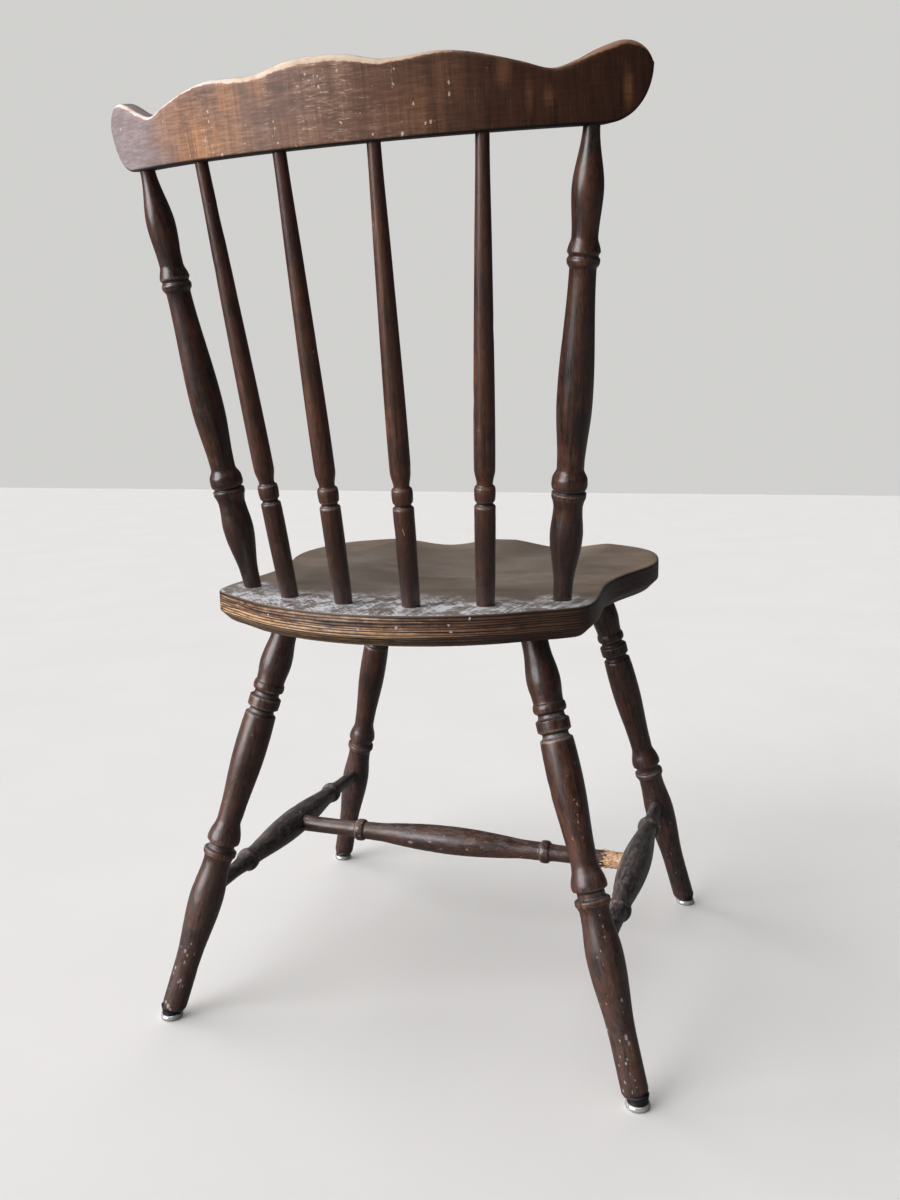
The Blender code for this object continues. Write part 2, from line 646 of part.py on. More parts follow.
def add_cross_stretcher(left, right, material):
    """The cross stretcher, shifted to the left so that its right tenon shows, in two equal sockets."""
    run = right["cross_point"] - left["cross_point"]
    half_span = run.length / 2.0
    centre = (left["cross_point"] + right["cross_point"]) / 2.0
    matrix = frame_along(centre - run.normalized() * CROSS_SHIFT, run)
    shoulder = turning_length(CROSS_HALF_TURNING)
    reach = half_span - CROSS_BEAD_INSET + CROSS_TENON_LENGTH
    half = turned_rows(CROSS_BELLY_DIAMETER, CROSS_HALF_TURNING)
    rows = mirrored(half + [(reach, CROSS_TENON_DIAMETER / 2.0)])
    add_turned("cross_stretcher", rows, STRETCHER_FACETS, PARTS, matrix, material)
    stop = reach + FIT_GAP
    add_socket(left["stretcher"], "left_cross_socket", CROSS_TENON_DIAMETER, -stop, -shoulder,
               STRETCHER_FACETS, matrix)
    deep = stop + 2.0 * CROSS_SHIFT
    add_socket(right["stretcher"], "right_cross_socket", CROSS_TENON_DIAMETER, shoulder, deep,
               STRETCHER_FACETS, matrix)


def centre_on_floor():
    """Move the whole chair so that the middle of its footprint box is the origin."""
    bpy.context.view_layer.update()
    depsgraph = bpy.context.evaluated_depsgraph_get()
    backs = []
    for item in PARTS.objects:
        ready = item.evaluated_get(depsgraph)
        backs += [(ready.matrix_world @ vertex.co).y for vertex in ready.data.vertices]
    middle = (min(backs) + max(backs)) / 2.0
    for item in bpy.data.objects:
        item.matrix_world = Matrix.Translation((0.0, -middle, 0.0)) @ item.matrix_world


def build_chair():
    seat_wood = make_material("seat_varnish", (0.115, 0.070, 0.052), 0.48)
    crest_wood = make_material("crest_varnish", (0.150, 0.075, 0.045), 0.42)
    post_wood = make_material("post_varnish", (0.060, 0.028, 0.022), 0.32)
    spindle_wood = make_material("spindle_varnish", (0.070, 0.034, 0.026), 0.34)
    leg_wood = make_material("leg_varnish", (0.055, 0.026, 0.020), 0.32)
    side_wood = make_material("side_stretcher_varnish", (0.065, 0.045, 0.038), 0.45)
    cross_wood = make_material("cross_stretcher_varnish", (0.085, 0.045, 0.036), 0.36)
    metal = make_material("glide_nickel", (0.78, 0.77, 0.74), 0.25, 1.0)
    soft = make_material("glide_cushion", (0.020, 0.020, 0.020), 0.60)
    steel = make_material("nail_steel", (0.55, 0.55, 0.55), 0.35, 1.0)

    seat = add_seat(seat_wood)
    crest = add_crest(crest_wood)
    add_uprights(seat, crest, post_wood, spindle_wood)
    corners = {}
    for place, axis in leg_axes().items():
        corners[place] = {"axis": axis, "leg": add_leg(place, axis, seat, leg_wood)}
        add_glide(place, axis, metal, soft, steel)
    sides = {side: add_side_stretcher(side, corners["rear_" + side], corners["front_" + side], side_wood)
             for side in ("left", "right")}
    add_cross_stretcher(sides["left"], sides["right"], cross_wood)
    centre_on_floor()


clear_objects()
PARTS = make_collection(OBJECT_NAME)
CUTTERS = make_collection("cutters")
build_chair()
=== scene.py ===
# %% [markdown]
# # A spindle-back chair whose dark varnish has worn
# The chair's solids were already drawn to size. This lesson dresses them: it reads each turned stick
# off its solid, turns it again with fine rounded beads, makes the dished seat and the bowed crest
# rail as smooth meshes, and gives every surface a finish with grain, scratches, chips and dust.

# %% Load the frame
import math
from types import SimpleNamespace

import bpy
import numpy as np
from mathutils import Matrix, Vector, noise


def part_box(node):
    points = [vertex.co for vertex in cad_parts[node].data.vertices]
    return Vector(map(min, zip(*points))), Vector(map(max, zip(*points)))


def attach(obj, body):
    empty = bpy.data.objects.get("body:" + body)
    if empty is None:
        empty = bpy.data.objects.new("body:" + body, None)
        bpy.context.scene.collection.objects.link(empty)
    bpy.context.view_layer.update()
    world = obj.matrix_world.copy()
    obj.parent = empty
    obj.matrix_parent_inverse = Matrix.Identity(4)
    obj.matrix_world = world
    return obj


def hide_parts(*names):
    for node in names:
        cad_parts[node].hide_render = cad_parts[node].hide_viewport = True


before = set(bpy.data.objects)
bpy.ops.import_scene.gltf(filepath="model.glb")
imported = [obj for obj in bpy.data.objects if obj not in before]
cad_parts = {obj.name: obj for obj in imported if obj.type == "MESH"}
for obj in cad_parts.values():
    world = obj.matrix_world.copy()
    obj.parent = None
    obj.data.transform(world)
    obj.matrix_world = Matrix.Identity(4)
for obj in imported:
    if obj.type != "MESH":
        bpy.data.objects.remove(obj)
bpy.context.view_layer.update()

# %% [markdown]
# ## Sums on shader sockets
# A finish is mostly arithmetic on masks: where the dust is, how far the varnish has rubbed away.
# It could be drawn node by node, but a formula reads better, so one small class wraps a socket and
# turns each Python operator into a Math node. A second class holds the material and adds nodes.


# %% A socket that can be added, multiplied and subtracted
class Mask:
    def __init__(self, finish, socket):
        self.finish = finish
        self.socket = socket

    def math(self, operation, *others, clamp=False):
        settings = {"operation": operation, "use_clamp": clamp}
        return self.finish.node("ShaderNodeMath", settings, dict(enumerate([self, *others])))

    def __add__(self, other):
        return self.math("ADD", other)

    def __radd__(self, other):
        return self.math("ADD", other)

    def __mul__(self, other):
        return self.math("MULTIPLY", other)

    def __rmul__(self, other):
        return self.math("MULTIPLY", other)

    def __sub__(self, other):
        return self.math("SUBTRACT", other)

    def __rsub__(self, other):
        return self.finish.node("ShaderNodeMath", {"operation": "SUBTRACT"}, {0: other, 1: self})

    def most(self, other):
        return self.math("MAXIMUM", other)

    def least(self, other):
        return self.math("MINIMUM", other)

    def clamped(self):
        return self.math("ADD", 0.0, clamp=True)

    def rise(self, low, high):
        """0 below low, 1 above high, and smooth between them; low may be the larger."""
        settings = {"interpolation_type": "SMOOTHSTEP"}
        values = {"Value": self, "From Min": low, "From Max": high}
        return self.finish.node("ShaderNodeMapRange", settings, values)


# %% A finish: one material and the nodes in it
def metres(*millimetres):
    return tuple(v / 1000.0 for v in millimetres)


class Finish:
    def __init__(self, name):
        self.material = bpy.data.materials.new(name)
        self.material.use_nodes = True
        self.tree = self.material.node_tree
        self.shader = self.tree.nodes["Principled BSDF"]

    def node(self, kind, settings=None, values=None, output=0):
        """Add a node: its settings first, then the values or links of its sockets."""
        made = self.tree.nodes.new(kind)
        for key, value in (settings or {}).items():
            setattr(made, key, value)
        for key, value in (values or {}).items():
            self.fill(made.inputs[key], value)
        return Mask(self, made.outputs[output])

    def fill(self, socket, value):
        if isinstance(value, Mask):
            self.tree.links.new(value.socket, socket)
        else:
            socket.default_value = value

    def set(self, **sockets):
        """Fill the shader's own sockets: Base_Color stands for Base Color."""
        for key, value in sockets.items():
            self.fill(self.shader.inputs[key.replace("_", " ")], value)

    def place(self):
        """The point in the whole chair's frame."""
        return self.node("ShaderNodeTexCoord", output=3)

    def own(self):
        """The point in the piece's own frame, as kept when the piece was made."""
        return self.stored("own", output=1)

    def facing(self):
        """The surface's outward direction."""
        return self.node("ShaderNodeNewGeometry", output=1)

    def stored(self, name, output=2):
        """A value kept on the mesh's points: 2 reads a number, 1 a vector."""
        return self.node("ShaderNodeAttribute", {"attribute_name": name}, output=output)

    def parts(self, vector):
        """The x, y and z of a vector."""
        split = self.tree.nodes.new("ShaderNodeSeparateXYZ")
        self.fill(split.inputs[0], vector)
        return [Mask(self, socket) for socket in split.outputs]

    def joined(self, x, y, z):
        return self.node("ShaderNodeCombineXYZ", None, {0: x, 1: y, 2: z})

    def scaled(self, vector, factors):
        return self.node("ShaderNodeVectorMath", {"operation": "MULTIPLY"}, {0: vector, 1: factors})

    def moved(self, vector, by):
        return self.node("ShaderNodeVectorMath", {"operation": "ADD"}, {0: vector, 1: by})

    def away(self, vector, place):
        """Distance from place."""
        return self.node("ShaderNodeVectorMath", {"operation": "DISTANCE"}, {0: vector, 1: place}, output=1)

    def cloud(self, vector, scale, detail=3.0, roughness=0.55):
        """Noise about 0.5."""
        values = {"Vector": vector, "Scale": scale, "Detail": detail, "Roughness": roughness}
        return self.node("ShaderNodeTexNoise", None, values)

    def warp(self, vector, scale, amount):
        """The vector, pushed about by noise."""
        values = {"Vector": vector, "Scale": scale, "Detail": 3.0}
        push = self.node("ShaderNodeTexNoise", None, values, output=1)
        centred = self.moved(push, (-0.5, -0.5, -0.5))
        return self.moved(vector, self.scaled(centred, (amount, amount, amount)))

    def turned(self, vector, angle):
        """The vector turned about z."""
        settings = {"rotation_type": "Z_AXIS"}
        return self.node("ShaderNodeVectorRotate", settings, {"Vector": vector, "Angle": angle})

    def spots(self, vector, places, stretch):
        """Ragged nicks at places, each x, y, z and half width in mm, and fine crumbs round them."""
        ragged = self.warp(vector, 300.0, 0.0030)
        drawn = self.scaled(ragged, stretch)
        nearest = self.nothing() + 1.0
        for *place, half in places:
            here = metres(*[p * s for p, s in zip(place, stretch)])
            nearest = nearest.least(self.away(drawn, here) - half * 0.00058)
        fray = (self.cloud(vector, 1500.0, 2.0) - 0.5) * 0.0018
        crumb = self.cloud(self.scaled(vector, stretch), 1050.0, 2.0, 0.6)
        around = nearest.rise(0.0065, 0.0005)
        return (nearest + fray).rise(0.00020, -0.00015), crumb.rise(0.665, 0.700) * around

    def nothing(self):
        """A mask that is 0 everywhere, to which marks are added one by one."""
        return self.node("ShaderNodeValue")

    def stroke(self, vector, start, end):
        """Distance from the straight line between two places."""
        run = Vector(end) - Vector(start)
        offset = self.moved(vector, tuple(-Vector(start)))
        share = self.node("ShaderNodeVectorMath", {"operation": "DOT_PRODUCT"},
                          {0: offset, 1: tuple(run / run.length_squared)}, output=1).clamped()
        reached = self.node("ShaderNodeVectorMath", {"operation": "SCALE"}, {0: tuple(run), 3: share})
        return self.away(offset, reached)

    def blend(self, factor, first, second):
        """A colour between first and second."""
        made = self.tree.nodes.new("ShaderNodeMix")
        made.data_type = "RGBA"
        self.fill(made.inputs[0], factor)
        for socket, colour in ((made.inputs[6], first), (made.inputs[7], second)):
            self.fill(socket, colour if isinstance(colour, Mask) else (*colour, 1.0))
        return Mask(self, made.outputs[2])

    def bumped(self, height, distance):
        return self.node("ShaderNodeBump", None, {"Height": height, "Distance": distance, "Strength": 1.0})


# %% [markdown]
# ## Reading a turned stick off its solid
# A leg or spindle is round about its own line, which leans. Its solid's corners lie in rings along
# that line, so the two end rings give the line, and each ring gives one distance and one radius.
# Reading them here keeps the dressed stick and its solid the same, whatever size the solid has.

# %% The line and the rings of a turned node
END_BAND = 0.0003
RING_BAND = 0.00012
LEAST_RADIUS = 0.003
LEAST_CORNERS = 5


def corners_of(name):
    """The node's separate corners, in metres."""
    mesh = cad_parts[name].data
    flat = np.empty(len(mesh.vertices) * 3)
    mesh.vertices.foreach_get("co", flat)
    return np.unique(flat.reshape(-1, 3).round(6), axis=0)


def line_of(points, towards):
    """The start and direction of a turned node's line, with its length."""
    centre = points.mean(axis=0)
    along = np.linalg.svd(points - centre, full_matrices=False)[2][0]
    for _ in range(4):
        reach = (points - centre) @ along
        low = points[reach < reach.min() + END_BAND].mean(axis=0)
        high = points[reach > reach.max() - END_BAND].mean(axis=0)
        along = (high - low) / np.linalg.norm(high - low)
    if along @ np.array(towards) < 0.0:
        low, high, along = high, low, -along
    return low, along, np.linalg.norm(high - low)


def rings_of(points, low, along):
    """Each full ring's distance along the line and radius."""
    offset = points - low
    reach = offset @ along
    radius = np.linalg.norm(offset - np.outer(reach, along), axis=1)
    order = np.argsort(reach)
    reach, radius = reach[order], radius[order]
    breaks = np.flatnonzero(np.diff(reach) > RING_BAND) + 1
    rings = []
    for group in np.split(np.arange(len(reach)), breaks):
        outer = radius[group].max()
        on_ring = np.count_nonzero(radius[group] > outer - RING_BAND)
        if on_ring >= LEAST_CORNERS and outer > LEAST_RADIUS:
            rings.append((reach[group].mean(), outer))
    return np.array(rings)


# %% [markdown]
# ## Turning it again, finer
# The solid's rings are few, because it has to stay light. A curve through them gives the fine ones.
# It must not bulge past a ring, or beads would grow fatter than they are, so it is a monotone cubic:
# flat at each crest and each hollow, which also rounds the beads as a turner's skew chisel does.

# %% A monotone curve through the rings
FINEST_STEP = 0.0007
MOST_STEPS = 14
TURNED_FACETS = 48


def monotone_slopes(places, values):
    """Slopes at each place that never make the curve overshoot."""
    step = np.diff(places)
    chord = np.diff(values) / step
    slopes = np.zeros(len(values))
    for i in range(1, len(values) - 1):
        if chord[i - 1] * chord[i] > 0.0:
            before, after = 2.0 * step[i] + step[i - 1], step[i] + 2.0 * step[i - 1]
            slopes[i] = (before + after) / (before / chord[i - 1] + after / chord[i])
    slopes[0], slopes[-1] = chord[0], chord[-1]
    return slopes


def fine_profile(rings):
    """Distances and radii along the curve, closer together where the rings are."""
    places, radii = rings[:, 0], rings[:, 1]
    slopes = monotone_slopes(places, radii)
    profile = []
    for i in range(len(places) - 1):
        span = places[i + 1] - places[i]
        steps = int(np.clip(round(span / FINEST_STEP), 3, MOST_STEPS))
        for t in np.arange(steps) / steps:
            start = (1 + 2 * t) * (1 - t) ** 2 * radii[i] + t * (1 - t) ** 2 * span * slopes[i]
            end = t * t * (3 - 2 * t) * radii[i + 1] - t * t * (1 - t) * span * slopes[i + 1]
            profile.append((places[i] + t * span, start + end))
    profile.append((places[-1], radii[-1]))
    return np.array(profile)


def hollowness(profile, reach):
    """How far each row lies under the mean of the rows within reach, in metres: coves are positive."""
    even = np.arange(profile[0, 0], profile[-1, 0], 0.0005)
    radii = np.interp(even, profile[:, 0], profile[:, 1])
    window = np.ones(int(reach / 0.0005) * 2 + 1)
    mean = np.convolve(np.pad(radii, len(window) // 2, "edge"), window / len(window), "valid")
    return np.interp(profile[:, 0], even, mean) - profile[:, 1]


# %% [markdown]
# ## The lathe
# Blender's Screw modifier turns a profile too, but here each point also keeps numbers for the
# finish: whether it lies in a cove, where dust gathers, or on a crest, where varnish rubs off. So
# the rings are laid out in a loop. Small dents, from seeded noise, keep the wood from looking new.

# %% Turn a piece from its node
DENT_DEPTH = 0.00035
DENT_SCALE = 55.0
DENT_LEAST = 0.42
DENT_SLOPE = 4.0
COVE_REACH = 0.007
GROOVE_REACH = 0.0028


def grid_mesh(name, points, rows, columns):
    """A closed tube of quads round rows of points, with a fan's centre at each end."""
    faces = []
    for i in range(rows - 1):
        for j in range(columns):
            k = (j + 1) % columns
            faces.append((i * columns + j, i * columns + k, (i + 1) * columns + k, (i + 1) * columns + j))
    first, last = len(points) - 2, len(points) - 1
    for j in range(columns):
        k = (j + 1) % columns
        faces.append((first, k, j))
        faces.append((last, (rows - 1) * columns + j, (rows - 1) * columns + k))
    mesh = bpy.data.meshes.new(name)
    mesh.from_pydata([tuple(p) for p in points], [], faces)
    mesh.shade_smooth()
    return mesh


def keep_numbers(mesh, name, values):
    kept = mesh.attributes.new(name, "FLOAT", "POINT")
    kept.data.foreach_set("value", np.asarray(values, dtype=np.float32))


def keep_vectors(mesh, name, values):
    kept = mesh.attributes.new(name, "FLOAT_VECTOR", "POINT")
    kept.data.foreach_set("vector", np.asarray(values, dtype=np.float32).ravel())


def dent(place, seed):
    """A shallow random dent, 0 on most of the surface."""
    spot = noise.noise(Vector(place) * DENT_SCALE + Vector((seed, 2.0 * seed, 0.0)))
    return max(spot - DENT_LEAST, 0.0) * DENT_SLOPE


def add_piece(name, mesh, finish, matrix, node=None):
    """Put a piece in the scene, in its node's place if it has one; "own" keeps its own frame."""
    own = [tuple(v.co) for v in mesh.vertices]
    keep_vectors(mesh, "own", own)
    mesh.transform(matrix)
    piece = bpy.data.objects.new(name, mesh)
    bpy.context.scene.collection.objects.link(piece)
    mesh.materials.append(finish.material)
    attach(piece, "root")
    if node is not None:
        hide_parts(node)
    return piece


def standing_on(low, along):
    """The frame whose z runs along a stick from its start."""
    return Matrix.Translation(low) @ Vector(along).to_track_quat("Z", "Y").to_matrix().to_4x4()


def turn_again(node, towards, finish, seed):
    """A finely turned copy of a node, as a piece of its own."""
    points = corners_of(node)
    low, along, length = line_of(points, towards)
    profile = fine_profile(rings_of(points, low, along))
    coves = hollowness(profile, COVE_REACH)
    grooves = hollowness(profile, GROOVE_REACH)
    angles = np.arange(TURNED_FACETS) * 2.0 * math.pi / TURNED_FACETS
    made = []
    for place, radius in profile:
        for angle in angles:
            unit = (math.cos(angle) * radius, math.sin(angle) * radius, place)
            r = radius - DENT_DEPTH * dent(unit, seed)
            made.append((math.cos(angle) * r, math.sin(angle) * r, place))
    made += [(0.0, 0.0, profile[0, 0]), (0.0, 0.0, profile[-1, 0])]
    mesh = grid_mesh(node + "_turned", made, len(profile), TURNED_FACETS)
    keep_numbers(mesh, "cove", [*np.repeat(coves, TURNED_FACETS), 0.0, 0.0])
    keep_numbers(mesh, "groove", [*np.repeat(grooves, TURNED_FACETS), 0.0, 0.0])
    keep_vectors(mesh, "grain", np.array(made) + np.array([0.37, 0.73, 1.31]) * seed)
    add_piece(node + "_turned", mesh, finish, standing_on(low, along), node)
    print(node, "length", round(length, 4), "rows", len(profile))
    return low, along


# %% [markdown]
# ## Dark varnish on turned wood
# The sticks are beech under a deep red-brown stain and a satin varnish. Three things make it real:
# grain in streaks along the stick, varnish rubbed thin on the crests, and grey dust in the coves.
# The chips that show pale wood are few, and thickest near the floor, where shoes and brooms hit.

# %% Colours of the wood, its dirt, and a near black for grime and painted shade
DEEP_STAIN = (0.0150, 0.0068, 0.0052)
WARM_STAIN = (0.1550, 0.0500, 0.0215)
RUBBED_WOOD = (0.2600, 0.1080, 0.0480)
TAN_WOOD = (0.560, 0.270, 0.110)
CHIP_WOOD = (0.600, 0.400, 0.260)
CREAM = (0.800, 0.640, 0.480)
SCUFFED_PALE = (0.520, 0.440, 0.390)
TORN_ORANGE = (0.740, 0.360, 0.130)
TORN_PALE = (0.900, 0.700, 0.480)
WORN_LINE = (0.420, 0.330, 0.270)
DUST = (0.300, 0.285, 0.280)
GRIME_AND_SHADE = (0.0045, 0.0040, 0.0040)


def torn_wood(finish, own):
    """Freshly torn beech: pale and orange fibres, with darker splits between them."""
    split = finish.cloud(finish.scaled(own, (1.0, 1.0, 0.16)), 900.0, 4.0, 0.75)
    lump = finish.cloud(own, 330.0, 3.0, 0.6)
    fresh = finish.blend(lump.rise(0.42, 0.60), TORN_ORANGE, TORN_PALE)
    fresh = finish.blend(split.rise(0.55, 0.68) * 0.8, fresh, TORN_PALE)
    return finish.blend(split.rise(0.46, 0.34), fresh, RUBBED_WOOD)


# %% [markdown]
# ## From stain to dust, layer by layer
# A finish is easiest to follow in the order in which the real one came about: stain soaks into the
# grain, varnish is rubbed thin, chips break away, and dust settles on top. The patterns that the
# layers share, here called the look, are made once, so that one layer's wear suits the next one's.

# %% Patterns that the layers of a stick share
def stick_patterns(finish):
    """Noise drawn out along the stick, and numbers that the lathe kept for coves and crests."""
    grain, cove, groove = finish.stored("grain", output=1), finish.stored("cove"), finish.stored("groove")
    own = finish.own()
    return SimpleNamespace(
        own=own, grain=grain, height=finish.parts(finish.place())[2], up=finish.parts(finish.facing())[2],
        streak=finish.cloud(finish.scaled(grain, (1.0, 1.0, 0.045)), 420.0, 4.0, 0.6),
        fibre=finish.cloud(finish.scaled(grain, (1.0, 1.0, 0.060)), 1700.0, 3.0, 0.6),
        pore=finish.cloud(finish.scaled(grain, (1.0, 1.0, 0.12)), 1500.0, 1.0).rise(0.60, 0.72),
        mottle=finish.cloud(finish.scaled(finish.warp(grain, 20.0, 0.02), (1.0, 1.0, 0.30)), 62.0, 4.0, 0.6),
        patch=finish.cloud(grain, 30.0, 4.0, 0.6), speck=finish.cloud(own, 1100.0, 3.0, 0.6),
        crest=cove.rise(-0.0002, -0.0013), bottom=cove.rise(0.0004, 0.0022),
        slit=groove.rise(0.00030, 0.0009), arris=groove.rise(-0.00016, -0.00045),
    )


# %% Stain, rubbed thin on the crests
def stained_beech(finish, look, warm, rubbed):
    rings = finish.cloud(finish.scaled(finish.warp(look.grain, 25.0, 0.008), (1.0, 1.0, 0.16)), 38.0, 2.0)
    figure = (rings * 26.0).math("PINGPONG", 1.0).rise(0.30, 0.0)
    tone = ((look.streak - 0.5) * 1.3 + (look.fibre - 0.5) * 1.3 + (look.mottle - 0.5) * 1.7 + warm).clamped()
    wood = finish.blend(tone, DEEP_STAIN, WARM_STAIN)
    darker = (look.pore * 0.60 + figure * 0.55 * look.mottle.rise(0.35, 0.6)).clamped()
    wood = finish.blend(darker, wood, DEEP_STAIN)
    thin = look.patch.rise(0.54, 0.72) * rubbed + look.crest * look.mottle.rise(0.40, 0.60) * (rubbed * 1.1)
    wood = finish.blend((thin * look.streak.rise(0.36, 0.62)).clamped(), wood, RUBBED_WOOD)
    # painted shade: the sticks are darker just above the seat, fading out higher up
    shade_near_seat = look.height.rise(0.575, 0.475) * look.height.rise(0.42, 0.44)
    wood = finish.blend(shade_near_seat * 0.62, wood, DEEP_STAIN)
    # narrow grooves are darkened, partly grime and partly painted shade
    wood = finish.blend((look.slit * 0.9).clamped(), wood, GRIME_AND_SHADE)
    worn_line = look.arris * look.patch.rise(0.40, 0.60) * look.fibre.rise(0.35, 0.6) * rubbed
    return finish.blend((worn_line * 1.4).clamped(), wood, WORN_LINE)


# %% Chips, and the wood that shows in them
def chipped(finish, look, chips, low_chips, nicks):
    """Where the varnish has broken away, and the colour there: grey and trodden near the floor."""
    lengthwise = finish.scaled(finish.warp(look.grain, 90.0, 0.006), (1.0, 1.0, 0.28))
    chip = finish.cloud(lengthwise, 330.0, 2.0, 0.55).rise(0.765 - chips, 0.785 - chips)
    near_floor = look.height.rise(0.26, 0.02) * low_chips
    chip = chip.most(finish.cloud(lengthwise, 300.0, 2.0, 0.55).rise(0.70, 0.72) * near_floor)
    placed, crumbs = finish.spots(look.own, nicks, (1.0, 1.0, 0.55))
    chip = chip.most(placed).most(crumbs * 0.85)
    colour = finish.blend(finish.cloud(look.own, 210.0, 2.0).rise(0.40, 0.60), TAN_WOOD, CHIP_WOOD)
    trodden = look.height.rise(0.170, 0.110) * look.height.rise(0.006, 0.016)
    return chip, finish.blend(trodden * 0.85, colour, SCUFFED_PALE)


def torn_away(finish, look, bare_from):
    """Past bare_from on the stick's own length there is only torn wood, with a ragged border."""
    break_line = finish.cloud(finish.scaled(look.own, (1.0, 1.0, 0.35)), 260.0, 4.0, 0.7)
    ragged = finish.parts(look.own)[2] + (break_line - 0.5) * 0.026
    torn = ragged.rise(bare_from - 0.0005, bare_from + 0.0005)
    return torn * finish.cloud(look.own, 520.0, 3.0, 0.7).rise(0.64, 0.60)


# %% Dust in the coves, and grey scuffs
def grey_film(finish, look, dusty, scuffed):
    settled = look.up.rise(0.15, 0.95) * 0.30 + look.bottom * look.up.rise(-0.10, 0.50) * 1.1
    film = (settled * look.patch.rise(0.30, 0.62) * look.speck.rise(0.36, 0.60) * dusty).clamped()
    smeared = finish.scaled(finish.warp(look.own, 60.0, 0.006), (1.0, 1.0, 0.35))
    rubbing = finish.cloud(smeared, 260.0, 4.0, 0.7)
    broken = 0.35 + 0.65 * look.fibre.rise(0.34, 0.60)
    scuff = rubbing.rise(0.46, 0.57) * broken * look.up.rise(-0.40, 0.45) * scuffed
    dull = look.height.rise(0.30, 0.10) * (0.04 + 0.14 * rubbing.rise(0.35, 0.65))
    return film.most(scuff).most(dull * (dusty * 0.8)).clamped()


# %% The whole finish of a stick
def stick_finish(name, warm, rubbed, dusty, chips, rough, scuffed=0.10, low_chips=0.0, nicks=(),
                 bare_from=None):
    """Varnished turned wood, whose own z runs along the stick."""
    finish = Finish(name)
    look = stick_patterns(finish)
    wood = stained_beech(finish, look, warm, rubbed)
    chip, chip_colour = chipped(finish, look, chips, low_chips, nicks)
    wood = finish.blend(chip * 0.80, wood, chip_colour)
    if bare_from is not None:
        wood = finish.blend(torn_away(finish, look, bare_from), wood, torn_wood(finish, look.own))
    film = grey_film(finish, look, dusty, scuffed)
    wood = finish.blend(film, wood, DUST)
    uneven = look.slit * 0.25 + (look.mottle - 0.5) * 0.25 + look.fibre * 0.08
    gloss = rough + film * 0.40 + chip * 0.35 + uneven
    relief = look.streak * 0.35 + look.fibre * 0.45 - look.pore * 0.30 - chip * 0.9 + look.speck * 0.15
    finish.set(Base_Color=wood, Roughness=gloss, Specular_IOR_Level=0.5, Coat_Roughness=0.25,
               Coat_Weight=0.62, Normal=finish.bumped(relief, 0.00025))
    return finish


# %% [markdown]
# ## The sticks, one finish each
# Posts and spindles are the cleanest. The legs are chipped near the floor. The side stretchers,
# where feet rest, are scuffed grey, and the cross stretcher is a little redder with bright chips.
# The larger nicks are listed one by one, each with its x, y and z on the stick and its half width in mm.

# %% Nicks on the sticks
LEFT_POST_NICKS = [
    (-2.2, -13.6, 241.4, 0.9), (-3.3, -13.8, 234.7, 0.8), (-1.1, -15, 209.5, 0.9),
    (-3.5, -10.6, 339.3, 1),
]
REAR_LEFT_LEG_NICKS = [
    (-15.8, 4.6, 305.6, 1.2), (-5.5, 14.6, 263.1, 0.9), (-2, 13.7, 239.6, 0.9), (-11.6, 6.4, 67.4, 1.8),
    (-12.6, 3.3, 63.5, 1.5), (-12.1, 3.9, 55.3, 1.7), (-6.6, 11.7, 69.4, 1.1), (-13.7, 3.3, 76.9, 1.1),
    (-6.3, 10.9, 45.3, 2), (-6.1, 11, 39.1, 1.4), (-12.2, 2.7, 35, 2.4), (-12.5, -0.9, 29.8, 1.5),
    (-11.5, 4.9, 32.8, 1.5), (-12.9, -2.9, 66.3, 1.1), (-10, 7.5, 4.4, 3.2), (-10.6, 4.3, 0.8, 2.3),
    (-7.1, 10.3, 7.3, 1.7),
]
REAR_RIGHT_LEG_NICKS = [
    (10, 13.3, 292.1, 0.9), (8.4, 13.6, 269.5, 0.9), (6.6, 14.3, 265.2, 1.6), (7.5, 13, 255.4, 1.1),
    (8, 12.1, 249.1, 1.2), (12.5, 5.1, 234.8, 0.9), (6, 11.9, 234.3, 0.9), (7, 12.4, 164.2, 0.8),
    (6.9, 13, 154.2, 1), (6.7, 13.5, 150, 1), (8.5, 13.2, 145.2, 1), (13.4, 10.3, 133.8, 0.8),
    (15.3, -8.2, 125.3, 0.9), (5.3, 14.2, 87.5, 1.5), (11.7, -5.4, 60.9, 1.5), (6.5, 10.6, 54.3, 2.3),
    (5.4, 11.2, 49, 1.6), (11.1, 6.1, 52.3, 1.2), (14.7, 3.2, 86.4, 0.9), (12, 3.6, 38.5, 0.9),
    (10.5, 6.9, 32, 1.5), (9.2, 8.6, 35.3, 1.3), (12.5, -0.5, 30.4, 0.9), (9.5, 8.2, 22, 1),
    (12.3, 2.5, 15.6, 1.1), (12.3, -2.1, 7.8, 1), (7.1, 10.3, 16.7, 0.9), (6.9, 10.4, 10, 1),
    (10.3, 7, 6.3, 1),
]
CROSS_STRETCHER_NICKS = [
    (-14.2, -1.8, 159.9, 2.7), (-15.5, 1.9, 184.2, 2.1), (-14.9, -5.6, 197.7, 1.3), (-15.3, -2, 229, 1.6),
    (-13.1, -9.2, 209.1, 0.9), (-11.5, 9.8, 235.8, 0.9), (-3.4, 13.3, 256.4, 1), (-14.5, 1.6, 245, 1),
    (-13.1, 1.8, 262.9, 0.9), (-8.8, -5.9, 290.7, 1.3), (-9.5, -7.9, 272.2, 0.9),
    (-9.1, 11.4, 163.9, 0.9), (-11.1, 6.4, 92, 1.6), (-12.3, -2.5, 95, 1.5), (-9.4, 4.1, 101.5, 1.2),
    (-6.2, 10.8, 95.8, 1.3), (-5.1, 7.7, 23.3, 1.7), (-8.8, 2.9, 24, 1.5), (-7.7, -5.1, 23.6, 1.7),
]
LEFT_SIDE_STRETCHER_NICKS = [
    (0.9, 9.1, 309.1, 2), (2.2, 12.1, 298, 1.6), (3.2, 13.1, 291.5, 2.2), (-1.2, 13.4, 294.5, 1.5),
    (-8.2, 13.9, 190.7, 1.9),
]
BARE_TENON_FROM = 0.3845

